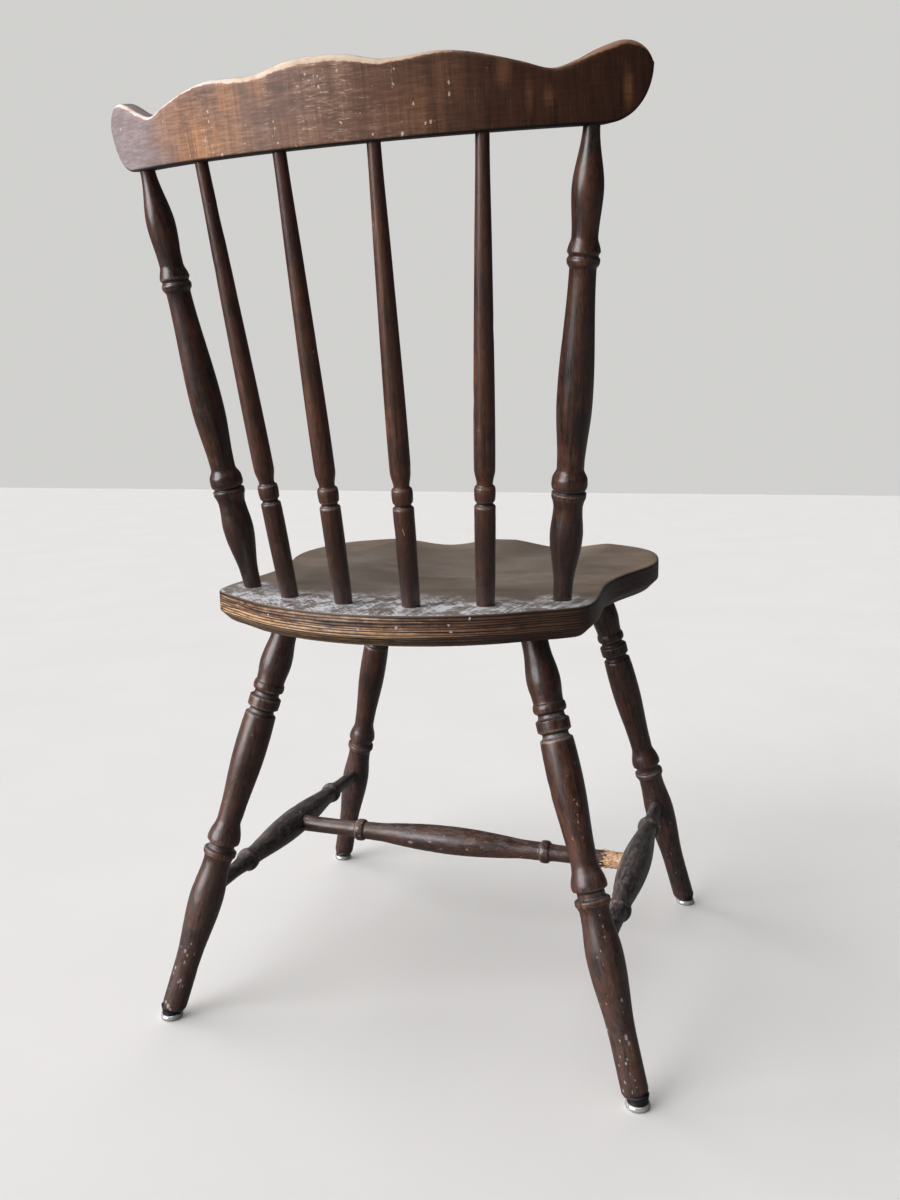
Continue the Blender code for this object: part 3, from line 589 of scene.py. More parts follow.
# %% Turn the posts, spindles and legs
UP = (0.0, 0.0, 1.0)
LEG = {"warm": 0.36, "rubbed": 0.36, "dusty": 0.85, "chips": 0.02, "rough": 0.32}
POST = {"warm": 0.33, "rubbed": 0.34, "dusty": 0.45, "chips": 0.0, "rough": 0.28}
SPINDLE = {"warm": 0.48, "rubbed": 0.40, "dusty": 0.45, "chips": 0.0, "rough": 0.32}
STICKS = {
    "left_post": ("post", POST, LEFT_POST_NICKS),
    "right_post": ("post", POST, ()),
    # The front legs' lower warm, and less dust on the right one, are painted shade for the seat's shadow over
    # them.
    "front_left_leg": ("leg", {**LEG, "warm": 0.30, "low_chips": 0.6}, ()),
    "front_right_leg": ("leg", {**LEG, "warm": 0.22, "dusty": 0.6, "low_chips": 0.8}, ()),
    "rear_left_leg": ("leg", {**LEG, "low_chips": 0.5}, REAR_LEFT_LEG_NICKS),
    "rear_right_leg": ("leg", {**LEG, "warm": 0.31, "low_chips": 0.5}, REAR_RIGHT_LEG_NICKS),
}
for spindle in ("spindle_1", "spindle_2", "spindle_3", "spindle_4"):
    STICKS[spindle] = ("spindle", SPINDLE, ())

lines = {}
for index, (node, (slot, looks, nicks)) in enumerate(STICKS.items()):
    finish = stick_finish(node + "_varnish", nicks=nicks, **looks)
    lines[node] = turn_again(node, UP, finish, 3.0 + index)

# %% Turn the stretchers
FORWARD = (0.0, -1.0, 0.0)
RIGHTWARD = (-1.0, 0.0, 0.0)
SIDE = {"warm": 0.02, "rubbed": 0.30, "dusty": 1.1, "scuffed": 0.52, "chips": 0.03, "rough": 0.40}
CROSS = {"warm": 0.40, "rubbed": 0.35, "dusty": 0.85, "scuffed": 0.44, "chips": 0.03, "rough": 0.27,
         "bare_from": BARE_TENON_FROM}
STRETCHERS = {
    "left_side_stretcher": ("side_stretcher", FORWARD, SIDE, LEFT_SIDE_STRETCHER_NICKS),
    "right_side_stretcher": ("side_stretcher", FORWARD, SIDE, ()),
    "cross_stretcher": ("cross_stretcher", RIGHTWARD, CROSS, CROSS_STRETCHER_NICKS),
}
for index, (node, (slot, towards, looks, nicks)) in enumerate(STRETCHERS.items()):
    finish = stick_finish(node + "_varnish", nicks=nicks, **looks)
    lines[node] = turn_again(node, towards, finish, 17.0 + index)

# %% [markdown]
# ## The splintered tenon
# The cross stretcher has crept out of its right socket, and the wood that shows there is torn and
# unstained. Colour alone would leave it smooth, so slivers are raised on it: thin wedges that lie
# along the stick, each held at one end and lifted at the other.

# %% Slivers on the bare tenon
SLIVERS = 46
SLIVER_LIFT = 0.0019
SLIVER_STARTS = (-0.0045, 0.008)
SLIVER_RUNS = (0.0025, 0.0065)
SLIVER_HALF_ANGLES = (0.04, 0.14)
SLIVER_FACES = ((0, 2, 4), (2, 1, 3), (2, 3, 4), (0, 4, 3, 1), (0, 1, 2))


def add_slivers(finish):
    low, along = lines["cross_stretcher"]
    chance = np.random.default_rng(12)
    radius = rings_of(corners_of("cross_stretcher"), low, along)[-1, 1]
    points, faces = [], []
    for _ in range(SLIVERS):
        angle = chance.uniform(0.0, 2.0 * math.pi)
        start = BARE_TENON_FROM + chance.uniform(*SLIVER_STARTS)
        run = chance.uniform(*SLIVER_RUNS) * chance.choice([-1.0, 1.0])
        wide = chance.uniform(*SLIVER_HALF_ANGLES)
        lift = SLIVER_LIFT * chance.uniform(0.3, 1.0)
        first = len(points)
        for place, turn, rise in ((start, -wide, -0.0003), (start, wide, -0.0003), (start, 0.0, 0.0005),
                                  (start + run, wide * 0.3, lift), (start + run, -wide * 0.3, lift * 0.8)):
            r = radius + rise
            points.append((math.cos(angle + turn) * r, math.sin(angle + turn) * r, place))
        faces += [tuple(first + i for i in face) for face in SLIVER_FACES]
    mesh = bpy.data.meshes.new("tenon_slivers")
    mesh.from_pydata(points, [], faces)
    add_piece("tenon_slivers", mesh, finish, standing_on(low, along))
    print("slivers", SLIVERS)


def torn_finish():
    finish = Finish("torn_beech")
    own = finish.own()
    split = finish.cloud(finish.scaled(own, (1.0, 1.0, 0.16)), 900.0, 4.0, 0.75)
    finish.set(Base_Color=torn_wood(finish, own), Roughness=0.75, Normal=finish.bumped(split, 0.0003))
    return finish


add_slivers(torn_finish())

# %% [markdown]
# ## Where the seat and the crest stand
# Both are boards with a frame of their own: the seat tilts back a little and the crest leans. The
# same sizes as the solids' are named here, and the seat's solid says how far they were moved to
# stand over the middle of the feet.

# %% Sizes of the seat and the crest, in metres
SEAT_HEIGHT = 0.457
SEAT_TILT = math.radians(2.1)
SEAT_THICKNESS = 0.0295
SEAT_BACK_REACH = 0.2605
SEAT_BACK_RADIUS = 0.238
SEAT_FRONT_REACH = 0.217
REAR_CORNER_HALF = 0.188
REAR_CORNER_BACK = 0.181
REAR_CORNER_ROUND = 0.016
WAIST_HALF = 0.1845
WAIST_BACK = 0.060
WIDEST_HALF = 0.2125
WIDEST_FORWARD = 0.094
FRONT_CORNER_HALF = 0.172
FRONT_CORNER_FORWARD = 0.181
SEAT_TOP_ROUND = 0.0026
SEAT_BOTTOM_CHAMFER = 0.0095
DISH_DEPTH = 0.012
DISH_HALF_WIDTH = 0.172
DISH_BACK_EDGE = 0.150
DISH_BACK_SLOPE = 0.110
THIGH_HOLLOW_OUT = 0.076
THIGH_HOLLOW_DEPTH = 0.0095
POMMEL_LENGTH = 0.170

CREST_BACK = 0.302
CREST_HEIGHT = 0.8205
CREST_LEAN = math.radians(11.5)
CREST_BEND_RADIUS = 0.368
CREST_THICKNESS = 0.018
CREST_HALF_LENGTH = 0.262
CREST_EAR_PLACE = 0.240
CREST_EAR_RISE = 0.0566
CREST_END_RISE = 0.040
CREST_LOWER_ROUND = 0.040
CREST_TOP_ARRIS = 0.0050
CREST_BOTTOM_ARRIS = 0.0018
CREST_TOP_EDGE = [
    (0.000, 0.0622), (0.026, 0.0607), (0.052, 0.0554), (0.074, 0.0557),
    (0.097, 0.0570), (0.117, 0.0551), (0.137, 0.0510), (0.158, 0.0458),
    (0.1815, 0.0400), (0.202, 0.0450), (0.222, 0.0526), (CREST_EAR_PLACE, CREST_EAR_RISE),
]

# The solids were centred over their feet, so the seat's own middle lies this far from the origin
seat_low, seat_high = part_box("seat")
MIDDLE_SHIFT = seat_high.y - SEAT_BACK_REACH * math.cos(SEAT_TILT)
print("middle shift", round(MIDDLE_SHIFT, 4), "seat", [round(v, 4) for v in (*seat_low, *seat_high)])


def leaning_frame(back, height, lean):
    return Matrix.Translation((0.0, back + MIDDLE_SHIFT, height)) @ Matrix.Rotation(-lean, 4, "X")


seat_matrix = leaning_frame(0.0, SEAT_HEIGHT, SEAT_TILT)
crest_matrix = leaning_frame(CREST_BACK, CREST_HEIGHT, CREST_LEAN)


# %% [markdown]
# ## The seat's outline and dish
# The seat is glued up from thin plies, then sawn to its outline and hollowed for the sitter: one
# bowl at the back, two thigh hollows in front, and a low pommel between them. A sculpted mesh could
# do it, but a formula keeps the hollows smooth and even, as a router on a template leaves them.

# %% Outline and dish
def ease(t):
    t = min(max(t, 0.0), 1.0)
    return (1.0 - math.cos(math.pi * t)) / 2.0


def back_edge(half):
    return SEAT_BACK_REACH - SEAT_BACK_RADIUS + math.sqrt(SEAT_BACK_RADIUS ** 2 - half ** 2)


def dish_depth(x, y):
    across = min(abs(x) / DISH_HALF_WIDTH, 1.0)
    bowl = DISH_DEPTH * math.cos(math.pi / 2.0 * across) ** 2
    hollow = THIGH_HOLLOW_DEPTH * math.sin(math.pi / 2.0 * min(abs(x) / THIGH_HOLLOW_OUT, 2.0)) ** 2
    rear = ease((DISH_BACK_EDGE - y) / DISH_BACK_SLOPE)
    front = ease((y + SEAT_FRONT_REACH) / POMMEL_LENGTH)
    return max(rear * (bowl * front + hollow * (1.0 - front)) - 0.0008, 0.0)


def seat_knots():
    half = [(REAR_CORNER_HALF * s, back_edge(REAR_CORNER_HALF * s)) for s in (0.0, 0.2, 0.4, 0.6, 0.78)]
    half += [
        (REAR_CORNER_HALF - REAR_CORNER_ROUND, REAR_CORNER_BACK + REAR_CORNER_ROUND * 0.75),
        (REAR_CORNER_HALF - REAR_CORNER_ROUND / 4.0, REAR_CORNER_BACK),
        (REAR_CORNER_HALF, REAR_CORNER_BACK - REAR_CORNER_ROUND),
        (WAIST_HALF, WAIST_BACK),
        (WIDEST_HALF, -WIDEST_FORWARD),
        (FRONT_CORNER_HALF, -FRONT_CORNER_FORWARD),
        (0.0, -SEAT_FRONT_REACH),
    ]
    return half + [(-x, y) for x, y in reversed(half[1:-1])]


def closed_spline(knots, resolution):
    """Points along a closed Bezier with automatic handles, read from a curve object's mesh."""
    curve = bpy.data.curves.new("seat_outline", "CURVE")
    curve.dimensions = "2D"
    curve.resolution_u = resolution
    spline = curve.splines.new("BEZIER")
    spline.bezier_points.add(len(knots) - 1)
    spline.use_cyclic_u = True
    for knot, (x, y) in zip(spline.bezier_points, knots):
        knot.co = (x, y, 0.0)
        knot.handle_left_type = "AUTO"
        knot.handle_right_type = "AUTO"
    guide = bpy.data.objects.new("seat_outline", curve)
    outline = [Vector(v.co) for v in guide.to_mesh().vertices]
    guide.to_mesh_clear()
    bpy.data.objects.remove(guide)
    return outline


def evenly(points, count):
    """The same closed line with count points at even distances."""
    ring = np.array([p[:2] for p in points] + [points[0][:2]])
    lengths = np.insert(np.cumsum(np.linalg.norm(np.diff(ring, axis=0), axis=1)), 0, 0.0)
    wanted = np.arange(count) * lengths[-1] / count
    return np.column_stack([np.interp(wanted, lengths, ring[:, i]) for i in (0, 1)])


outline = evenly(closed_spline(seat_knots(), 12), 420)
print("seat outline", len(outline), "points, half width", round(outline[:, 0].max(), 4))

# %% Build the seat
SEAT_HEART = (0.0, 0.01)
TOP_RINGS = 84
ROUND_STEPS = 6


def inward(outline):
    """Unit vectors from each point of the outline towards the inside."""
    run = np.roll(outline, -1, axis=0) - np.roll(outline, 1, axis=0)
    left = np.column_stack([-run[:, 1], run[:, 0]]) / np.linalg.norm(run, axis=1)[:, None]
    centre = outline.mean(axis=0)
    return left if ((centre - outline) * left).sum() > 0.0 else -left


def seat_rings():
    """Closed rings from the middle of the top, over the rounded edge, down the plies and under."""
    into = inward(outline)
    heart = np.array(SEAT_HEART)
    shoulder = outline + into * SEAT_TOP_ROUND
    rings = []
    for i in range(1, TOP_RINGS + 1):
        ring = heart + (shoulder - heart) * (i / TOP_RINGS)
        rings.append([(x, y, -dish_depth(x, y)) for x, y in ring])
    for i in range(1, ROUND_STEPS + 1):
        angle = math.pi / 2.0 * i / ROUND_STEPS
        inset = SEAT_TOP_ROUND * (1.0 - math.sin(angle))
        drop = SEAT_TOP_ROUND * (1.0 - math.cos(angle))
        ring = outline + into * inset
        rings.append([(x, y, -dish_depth(x, y) - drop) for x, y in ring])
    foot = -SEAT_THICKNESS + SEAT_BOTTOM_CHAMFER
    head = [-dish_depth(x, y) - SEAT_TOP_ROUND for x, y in outline]
    for share in (0.3, 0.6, 0.92, 1.0):
        rings.append([(x, y, z * (1 - share) + foot * share) for (x, y), z in zip(outline, head)])
    for share in (0.12, 0.5, 0.88, 1.0):
        ring = outline + into * (SEAT_BOTTOM_CHAMFER * share)
        rings.append([(x, y, foot - SEAT_BOTTOM_CHAMFER * share) for x, y in ring])
    under = outline + into * SEAT_BOTTOM_CHAMFER
    for share in (0.98, 0.9, 0.7, 0.4, 0.1):
        ring = heart + (under - heart) * share
        rings.append([(x, y, -SEAT_THICKNESS) for x, y in ring])
    return rings


def add_seat(finish):
    rings = seat_rings()
    points = [p for ring in rings for p in ring]
    points += [(*SEAT_HEART, -dish_depth(*SEAT_HEART)), (*SEAT_HEART, -SEAT_THICKNESS)]
    mesh = grid_mesh("seat_board", points, len(rings), len(outline))
    mesh.flip_normals()
    edge = [0.0] * len(points)
    first, last = TOP_RINGS + ROUND_STEPS // 2, len(rings) - 6
    for i in range(first * len(outline), (last + 1) * len(outline)):
        edge[i] = 1.0
    keep_numbers(mesh, "edge", edge)
    return add_piece("seat_board", mesh, finish, seat_matrix, "seat")


# %% [markdown]
# ## The seat's finish
# The top has lost its shine: it is a grey-brown with wiping marks, and white dust lies along the
# back, where no one sits, thickest round the feet of the spindles. The sawn edge shows the plies as
# golden and dark lines. An image of plywood would repeat and stretch round the corners, so the
# stripes come from the height in the board, bent a little by noise, and follow the edge everywhere.

# %% Colours and marks of the seat
PLIES = 12
PLY_GOLD = (0.700, 0.410, 0.200)
PLY_RED = (0.260, 0.115, 0.060)
PLY_BROWN = (0.150, 0.072, 0.040)
PLY_DARK = (0.020, 0.011, 0.009)
SEAT_DEEP = (0.082, 0.063, 0.047)
SEAT_WORN = (0.275, 0.215, 0.163)
WHITE_DUST = (0.660, 0.660, 0.685)
DECK_FLECKS = [
    (-95.1, 240.7, -3.4, 1.5), (99.4, 238.9, -9.4, 1.5), (1.0, 260.5, -13.1, 1.2), (-34.2, 258.0, -10.6, 1.8),
    (-79.9, 246.7, -14.8, 1.3), (-78.3, 247.3, -9.0, 1.1),
]
DECK_SCRATCHES = [
    (24.4, 255.7, 12.2, 260.2), (20.4, 246.4, 7.0, 260.4), (-11.5, 259.5, -13.1, 242.8),
    (-44.3, 256.0, -48.4, 239.0), (-52.4, 247.4, -56.5, 224.6), (64.7, 242.3, 64.5, 223.7),
    (40.0, 236.0, 30.0, 226.0), (-90.0, 236.0, -104.0, 222.0),
]


def upright_feet():
    """Where each post and spindle meets the deck, in the seat's own frame."""
    feet = []
    for node in ("left_post", "right_post", "spindle_1", "spindle_2", "spindle_3", "spindle_4"):
        low, along = lines[node]
        start = seat_matrix.inverted() @ Vector(low)
        run = seat_matrix.inverted().to_3x3() @ Vector(along)
        feet.append(start - run * (start.z / run.z))
    return feet


def seat_dust(finish, own, back_strip):
    """White dust on the deck behind the dish, brushed two ways, thick round each foot."""
    bent = finish.warp(own, 10.0, 0.020)
    swept = finish.cloud(finish.scaled(finish.turned(bent, 0.15), (1.0, 0.05, 1.0)), 330.0, 4.0, 0.70)
    slanted = finish.cloud(finish.scaled(finish.turned(bent, 0.95), (0.07, 1.0, 1.0)), 420.0, 4.0, 0.70)
    ragged = finish.cloud(finish.warp(own, 30.0, 0.03), 60.0, 5.0, 0.65)
    haze = back_strip * ((swept * 0.9 + slanted * 0.8 + ragged * 1.2).rise(1.36, 1.60) * 0.92 + 0.05)
    for foot in upright_feet():
        away = finish.away(finish.warp(own, 55.0, 0.014), tuple(foot))
        near = away.rise(0.034, 0.012) * (ragged * 0.7 + swept * 0.9).rise(0.70, 0.94) * 0.95
        ring = finish.away(own, tuple(foot)).rise(0.0130, 0.0112) * ragged.rise(0.44, 0.54)
        haze = haze.most(near).most(ring)
    return haze


def deck_scratches(finish, own):
    """Lines rubbed through the dust, each from x and y to x and y, in mm."""
    drawn = finish.nothing()
    wavering = finish.warp(own, 80.0, 0.003)
    for x0, y0, x1, y1 in DECK_SCRATCHES:
        line = finish.stroke(wavering, metres(x0, y0, 0.0), metres(x1, y1, 0.0))
        drawn = drawn.most(line.rise(0.0012, 0.0003))
    return drawn


def ply_lines(finish, own):
    """The sawn edge: thin plies of uneven thickness, each with its own share of gold, with painted light on
    them.
    """
    x, y, z = finish.parts(own)
    uneven = finish.cloud(finish.scaled(own, (0.02, 0.02, 1.0)), 260.0, 2.0)
    wander = finish.cloud(finish.scaled(own, (1.0, 1.0, 0.2)), 14.0, 3.0)
    height = z * (PLIES / SEAT_THICKNESS) + uneven * 1.8 + wander * 0.4
    line, layer = height.math("FRACT"), height.math("FLOOR")
    chance = finish.node("ShaderNodeTexWhiteNoise", {"noise_dimensions": "1D"}, {"W": layer})
    down_the_ply = finish.joined(x * 45.0, y * 45.0, layer * 5.7)
    torn = finish.cloud(down_the_ply, 1.0, 5.0, 0.7)
    fibre = finish.cloud(finish.joined(x * 70.0, y * 70.0, z * 850.0), 1.0, 3.0, 0.65)
    bright = line.rise(0.10, 0.40) * line.rise(0.98, 0.70)
    lit = (chance * 0.40 + torn * 1.0 + fibre * 0.5).rise(0.66, 1.12)
    # painted glints: cream highlights on the brightest fibres of the plies
    glint = (torn * 0.8 + fibre * 0.8 + chance * 0.15).rise(0.92, 1.10)
    # painted light: the bright plies fade from the left towards the seat's right half
    painted_light = x.rise(-0.15, -0.01) * 0.84 + 0.16
    colour = finish.blend(bright * torn.rise(0.25, 0.50), PLY_DARK, PLY_BROWN)
    # gold on the left turning red on the right is partly the plies' colour and partly painted light
    gold = finish.blend(x.rise(-0.14, 0.0), PLY_RED, PLY_GOLD)
    colour = finish.blend((bright * lit * (painted_light * 0.8 + 0.2) * 0.92).clamped(), colour, gold)
    colour = finish.blend((glint * bright * painted_light * 0.55).clamped(), colour, CREAM)
    foot = -SEAT_THICKNESS + SEAT_BOTTOM_CHAMFER
    chamfer = z.rise(foot + 0.001, foot - 0.001)
    arris = z.rise(-0.0032, -0.0023) * 0.85
    # painted shade darkens the chamfer and the right end of the edge; a dark line also runs along the top
    # arris
    shade = (chamfer * (0.34 + 0.25 * torn)).most(arris).most(x.rise(-0.10, -0.18) * 0.40)
    return finish.blend(shade, colour, PLY_DARK), bright


# %% The worn top
def wiping_marks(finish, own, patch):
    """Fine pale lines where things slid over the seat, in two directions."""
    sliding = finish.warp(own, 14.0, 0.03)
    one_way, other_way = finish.turned(sliding, 0.5), finish.turned(sliding, -0.9)
    slid = finish.cloud(finish.scaled(one_way, (0.035, 1.0, 1.0)), 620.0, 3.0, 0.6)
    wiped = finish.cloud(finish.scaled(other_way, (0.035, 1.0, 1.0)), 560.0, 3.0, 0.6)
    return slid.rise(0.66, 0.73).most(wiped.rise(0.67, 0.74)) * patch.rise(0.35, 0.60)


def seat_top(finish, own, y, patch, grain, wiped):
    """Veneer worn grey-brown, a little warmer along the rim; how worn it is, and its colour."""
    veneer = finish.cloud(finish.scaled(finish.warp(own, 12.0, 0.012), (0.05, 1.0, 1.0)), 190.0, 4.0, 0.7)
    worn = (wiped * 0.7 + patch * 0.8 + grain * 0.6 + veneer * 0.6 - 0.92).clamped()
    top = finish.blend(worn, SEAT_DEEP, SEAT_WORN)
    from_middle = finish.away(finish.scaled(own, (1.0, 0.95, 0.0)), (0.0, -0.02, 0.0))
    rim = from_middle.rise(0.150, 0.215) * patch.rise(0.35, 0.6)
    top = finish.blend(rim * y.rise(0.14, 0.06) * grain.rise(0.40, 0.60) * 0.30, top, TAN_WOOD)
    marks = wiping_marks(finish, own, patch) * y.rise(0.15, 0.10)
    return worn, finish.blend(marks * 0.34, top, WHITE_DUST)


# %% The whole finish of the seat
def seat_finish():
    finish = Finish("seat_varnish")
    own, edge = finish.own(), finish.stored("edge")
    y = finish.parts(own)[1]
    wiped = finish.cloud(finish.scaled(finish.warp(own, 8.0, 0.03), (0.25, 1.0, 1.0)), 60.0, 5.0, 0.6)
    grain = finish.cloud(finish.scaled(own, (0.08, 1.0, 1.0)), 700.0, 4.0, 0.65)
    patch = finish.cloud(own, 11.0, 4.0, 0.6)
    worn, top = seat_top(finish, own, y, patch, grain, wiped)

    back_strip = (y + (patch - 0.5) * 0.05).rise(0.145, 0.205)
    level = finish.parts(finish.facing())[2].rise(0.72, 0.97)
    film = ((seat_dust(finish, own, back_strip) + patch.rise(0.35, 0.8) * 0.06) * level).clamped()
    top = finish.blend(film, top, WHITE_DUST)
    scratches = deck_scratches(finish, own) * grain.rise(0.35, 0.55)
    top = finish.blend((scratches * 0.75).clamped(), top, WHITE_DUST)
    bare_speck = finish.cloud(own, 420.0, 3.0, 0.6).rise(0.72, 0.75) * 0.7
    top = finish.blend(bare_speck, top, TAN_WOOD)

    plies, bright = ply_lines(finish, own)
    colour = finish.blend(edge, top, plies)
    flecks, crumbs = finish.spots(own, DECK_FLECKS, (0.8, 1.0, 1.0))
    colour = finish.blend(flecks.most(crumbs * 0.5), colour, WHITE_DUST)

    gloss = 0.46 + film * 0.35 + worn * 0.08 - edge * 0.04
    relief = grain * 0.35 + wiped * 0.2 + edge * bright * 1.2 + film * 0.3 - scratches * 0.5
    finish.set(Base_Color=colour, Roughness=gloss, Coat_Weight=0.12, Coat_Roughness=0.32,
               Normal=finish.bumped(relief, 0.0003))
    return finish


seat_piece = add_seat(seat_finish())
print("seat", len(seat_piece.data.polygons), "faces")


# %% [markdown]
# ## The crest rail
# The rail is a board sawn to a scalloped outline and bent round the sitter's back. Its sections are
# lofted from end to end. Each point keeps its place on the flat board before bending, so that grain
# and scratches follow the wood, and its depth under the top edge, where hands rubbed it bare.

# %% Outline of the crest
def smooth_height(points, place):
    """Height on the smooth curve through the points, level at both of its ends."""
    index = max(i for i in range(len(points) - 1) if points[i][0] <= place)

    def slope(i):
        if i in (0, len(points) - 1):
            return 0.0
        return (points[i + 1][1] - points[i - 1][1]) / (points[i + 1][0] - points[i - 1][0])

    (x0, y0), (x1, y1) = points[index], points[index + 1]
    span = x1 - x0
    t = (place - x0) / span
    start = y0 * (1.0 + 2.0 * t) + span * slope(index) * t
    end = y1 * (3.0 - 2.0 * t) - span * slope(index + 1) * (1.0 - t)
    return start * (1.0 - t) ** 2 + end * t ** 2


def crest_top(place):
    if place < CREST_EAR_PLACE:
        return smooth_height(CREST_TOP_EDGE, place)
    along = min((place - CREST_EAR_PLACE) / (CREST_HALF_LENGTH - CREST_EAR_PLACE), 1.0)
    return CREST_END_RISE + (CREST_EAR_RISE - CREST_END_RISE) * math.sqrt(1.0 - along ** 2)


def crest_bottom(place):
    along = max((place - CREST_HALF_LENGTH + CREST_LOWER_ROUND) / CREST_LOWER_ROUND, 0.0)
    return CREST_END_RISE * (1.0 - math.sqrt(1.0 - min(along, 1.0) ** 2))


# %% Loft the crest
CREST_COLUMNS = 96
END_COLUMNS = 22
FACE_STEPS = 20
ARRIS_STEPS = 5


def crest_places():
    straight = CREST_HALF_LENGTH - CREST_LOWER_ROUND
    even = [straight * i / CREST_COLUMNS for i in range(CREST_COLUMNS)]
    angles = [math.radians(89.0) * i / END_COLUMNS for i in range(END_COLUMNS + 1)]
    turn = [straight + CREST_LOWER_ROUND * math.sin(angle) for angle in angles]
    half = even + turn
    return [-p for p in reversed(half[1:])] + half


def crest_section(low, high):
    """Offset and rise round one section, starting at the foot of the rear face."""
    half = CREST_THICKNESS / 2.0
    foot = min(CREST_BOTTOM_ARRIS, (high - low) * 0.3)
    head = min(CREST_TOP_ARRIS, (high - low) * 0.45)
    rear = [(half, low + foot + (high - head - low - foot) * i / FACE_STEPS) for i in range(FACE_STEPS)]
    turn = [math.pi / 2.0 * i / ARRIS_STEPS for i in range(ARRIS_STEPS + 1)]
    over = [(half - head + head * math.cos(a), high - head + head * math.sin(a)) for a in turn]
    front_over = [(-o, r) for o, r in reversed(over)]
    front = [(-o, r) for o, r in reversed(rear)]
    under = [(half - foot + foot * math.sin(a), low + foot - foot * math.cos(a)) for a in turn[:-1]]
    front_under = [(-o, r) for o, r in reversed(under)]
    return rear + over + front_over + front + front_under + under


def add_crest(finish):
    points, boards, depths, feet = [], [], [], []
    places = crest_places()
    for place in places:
        low, high = crest_bottom(abs(place)), crest_top(abs(place))
        section = crest_section(low, high)
        angle = place / (CREST_BEND_RADIUS + CREST_THICKNESS / 2.0)
        for offset, rise in section:
            radius = CREST_BEND_RADIUS + offset
            points.append((radius * math.sin(angle), radius * math.cos(angle) - CREST_BEND_RADIUS, rise))
            boards.append((place, offset, rise))
            depths.append(high - rise)
            feet.append(rise - low)
    columns = len(crest_section(0.0, 0.05))
    ends = [(points[:columns], places[0]), (points[-columns:], places[-1])]
    for ring, place in ends:
        points.append(tuple(np.mean(ring, axis=0)))
        boards.append((place, 0.0, CREST_END_RISE))
        depths.append(0.01)
        feet.append(0.01)
    mesh = grid_mesh("crest_board", points, len(places), columns)
    keep_numbers(mesh, "under_edge", depths)
    keep_numbers(mesh, "over_foot", feet)
    keep_vectors(mesh, "board", boards)
    return add_piece("crest_board", mesh, finish, crest_matrix, "crest_rail")


# %% [markdown]
# ## The crest's finish
# This is the part that hands and walls touch most. The stain is walnut brown with grain along the
# board; upright scrape marks show an orange tan, most on the left third; the top edge is rubbed to
# pale wood; and small nicks are scattered where something struck. Noise alone would scatter wear
# evenly, and real wear has places, so the scrapes, the scratches and the largest nicks are listed
# one by one. A nick has its place along the board, its rise and its half width, in millimetres.

# %% Colours and marks of the crest
WALNUT = (0.290, 0.142, 0.084)
WALNUT_DARK = (0.066, 0.0290, 0.0185)
WALNUT_DEEP = (0.026, 0.0100, 0.0062)
WALNUT_RED = (0.125, 0.0480, 0.0250)
WALNUT_LIGHT = (0.450, 0.275, 0.185)
PAINTED_SHEEN_VIOLET = (0.360, 0.305, 0.320)
BARE_WHITE_AND_SHEEN = (0.800, 0.740, 0.700)
SCRAPED = (0.540, 0.245, 0.100)
NICKS = [
    (-20, 50, 1.9), (-4, 41, 2.0), (-4, 48, 0.9), (101, 35, 1.3), (101, 28, 1.4), (236, 36, 1.2),
    (-19, 15, 1.4), (91, 2, 2.4), (36, 6, 1.6), (67, 8, 1.1), (129, 5, 1.1), (-43, 5, 1.4),
    (20, 2, 1.0), (38, 21, 1.1), (37, 16, 1.1), (-63, 47, 1.3), (-62, 37, 1.0), (40, 11, 0.9),
    (-103, 35, 1.8), (-103, 27, 1.7), (-76, 23, 1.3), (-88, 10, 1.6), (-84, 9, 1.2), (-66, 11, 1.0),
    (-66, 3, 2.4), (-214, 50, 1.3), (-201, 45, 1.3), (-132, 42, 0.8), (158, 34, 0.8), (-35, 20, 0.9),
    (64, 21, 0.9), (6, 50, 1.0), (3, 46, 1.1), (-1, 49, 1.0), (-6, 46, 1.1), (-9, 52, 0.9),
    (2, 43, 0.9), (8, 47, 0.8),
]
SCRATCHES = [
    (8, 37, -16, 26), (-16, 26, -34, 19), (21, 11, 20, 4), (23, 26, 6, 33), (37, 23, 39, 7),
    (-62, 49, -61, 35), (166, 22, 139, 31), (4, 49, -6, 45), (-24, 33, -44, 29), (-10, 22, -22, 24),
]
SCRAPES = [
    (116, 11, 42, 30, 1.00), (79, 43, 17, 20, 0.80), (50, 47, 13, 18, 0.55), (146, 30, 40, 30, 0.45),
    (86, 16, 30, 22, 0.50), (20, 12, 30, 18, 0.30), (-144, 39, 8, 13, 0.28), (-162, 22, 4, 14, 0.24),
    (-177, 20, 6, 9, 0.34), (-240, 24, 5, 16, 0.46), (-104, 40, 14, 20, 0.22), (-80, 20, 30, 24, 0.20),
]
REAR_FACE = CREST_THICKNESS / 2.0


# %% Patterns that the layers of the crest share
def crest_patterns(finish):
    """Noise drawn out along the board or upright across it, and places on the flat board."""
    board = finish.stored("board", output=1)
    along, offset = finish.parts(board)[:2]
    fine, wide = finish.warp(board, 40.0, 0.002), finish.warp(board, 9.0, 0.02)
    waved = finish.warp(board, 60.0, 0.004)
    return SimpleNamespace(
        board=board, along=along, offset=offset, rear=offset.rise(0.001, 0.006),
        to_right=along.rise(-0.030, -0.150),
        grain=finish.cloud(finish.scaled(fine, (0.11, 1.0, 1.0)), 520.0, 5.0, 0.75),
        broad=finish.cloud(finish.scaled(wide, (0.10, 1.0, 1.0)), 130.0, 4.0, 0.6),
        patch=finish.cloud(board, 16.0, 3.0, 0.6),
        bands=finish.cloud(finish.scaled(board, (1.0, 1.0, 0.10)), 75.0, 5.0, 0.6),
        upright=finish.cloud(finish.scaled(board, (1.0, 1.0, 0.07)), 300.0, 5.0, 0.70),
        fine_upright=finish.cloud(finish.scaled(board, (1.0, 1.0, 0.05)), 800.0, 3.0, 0.6),
        rows=finish.cloud(finish.scaled(waved, (0.14, 1.0, 1.0)), 800.0, 3.0, 0.65),
    )
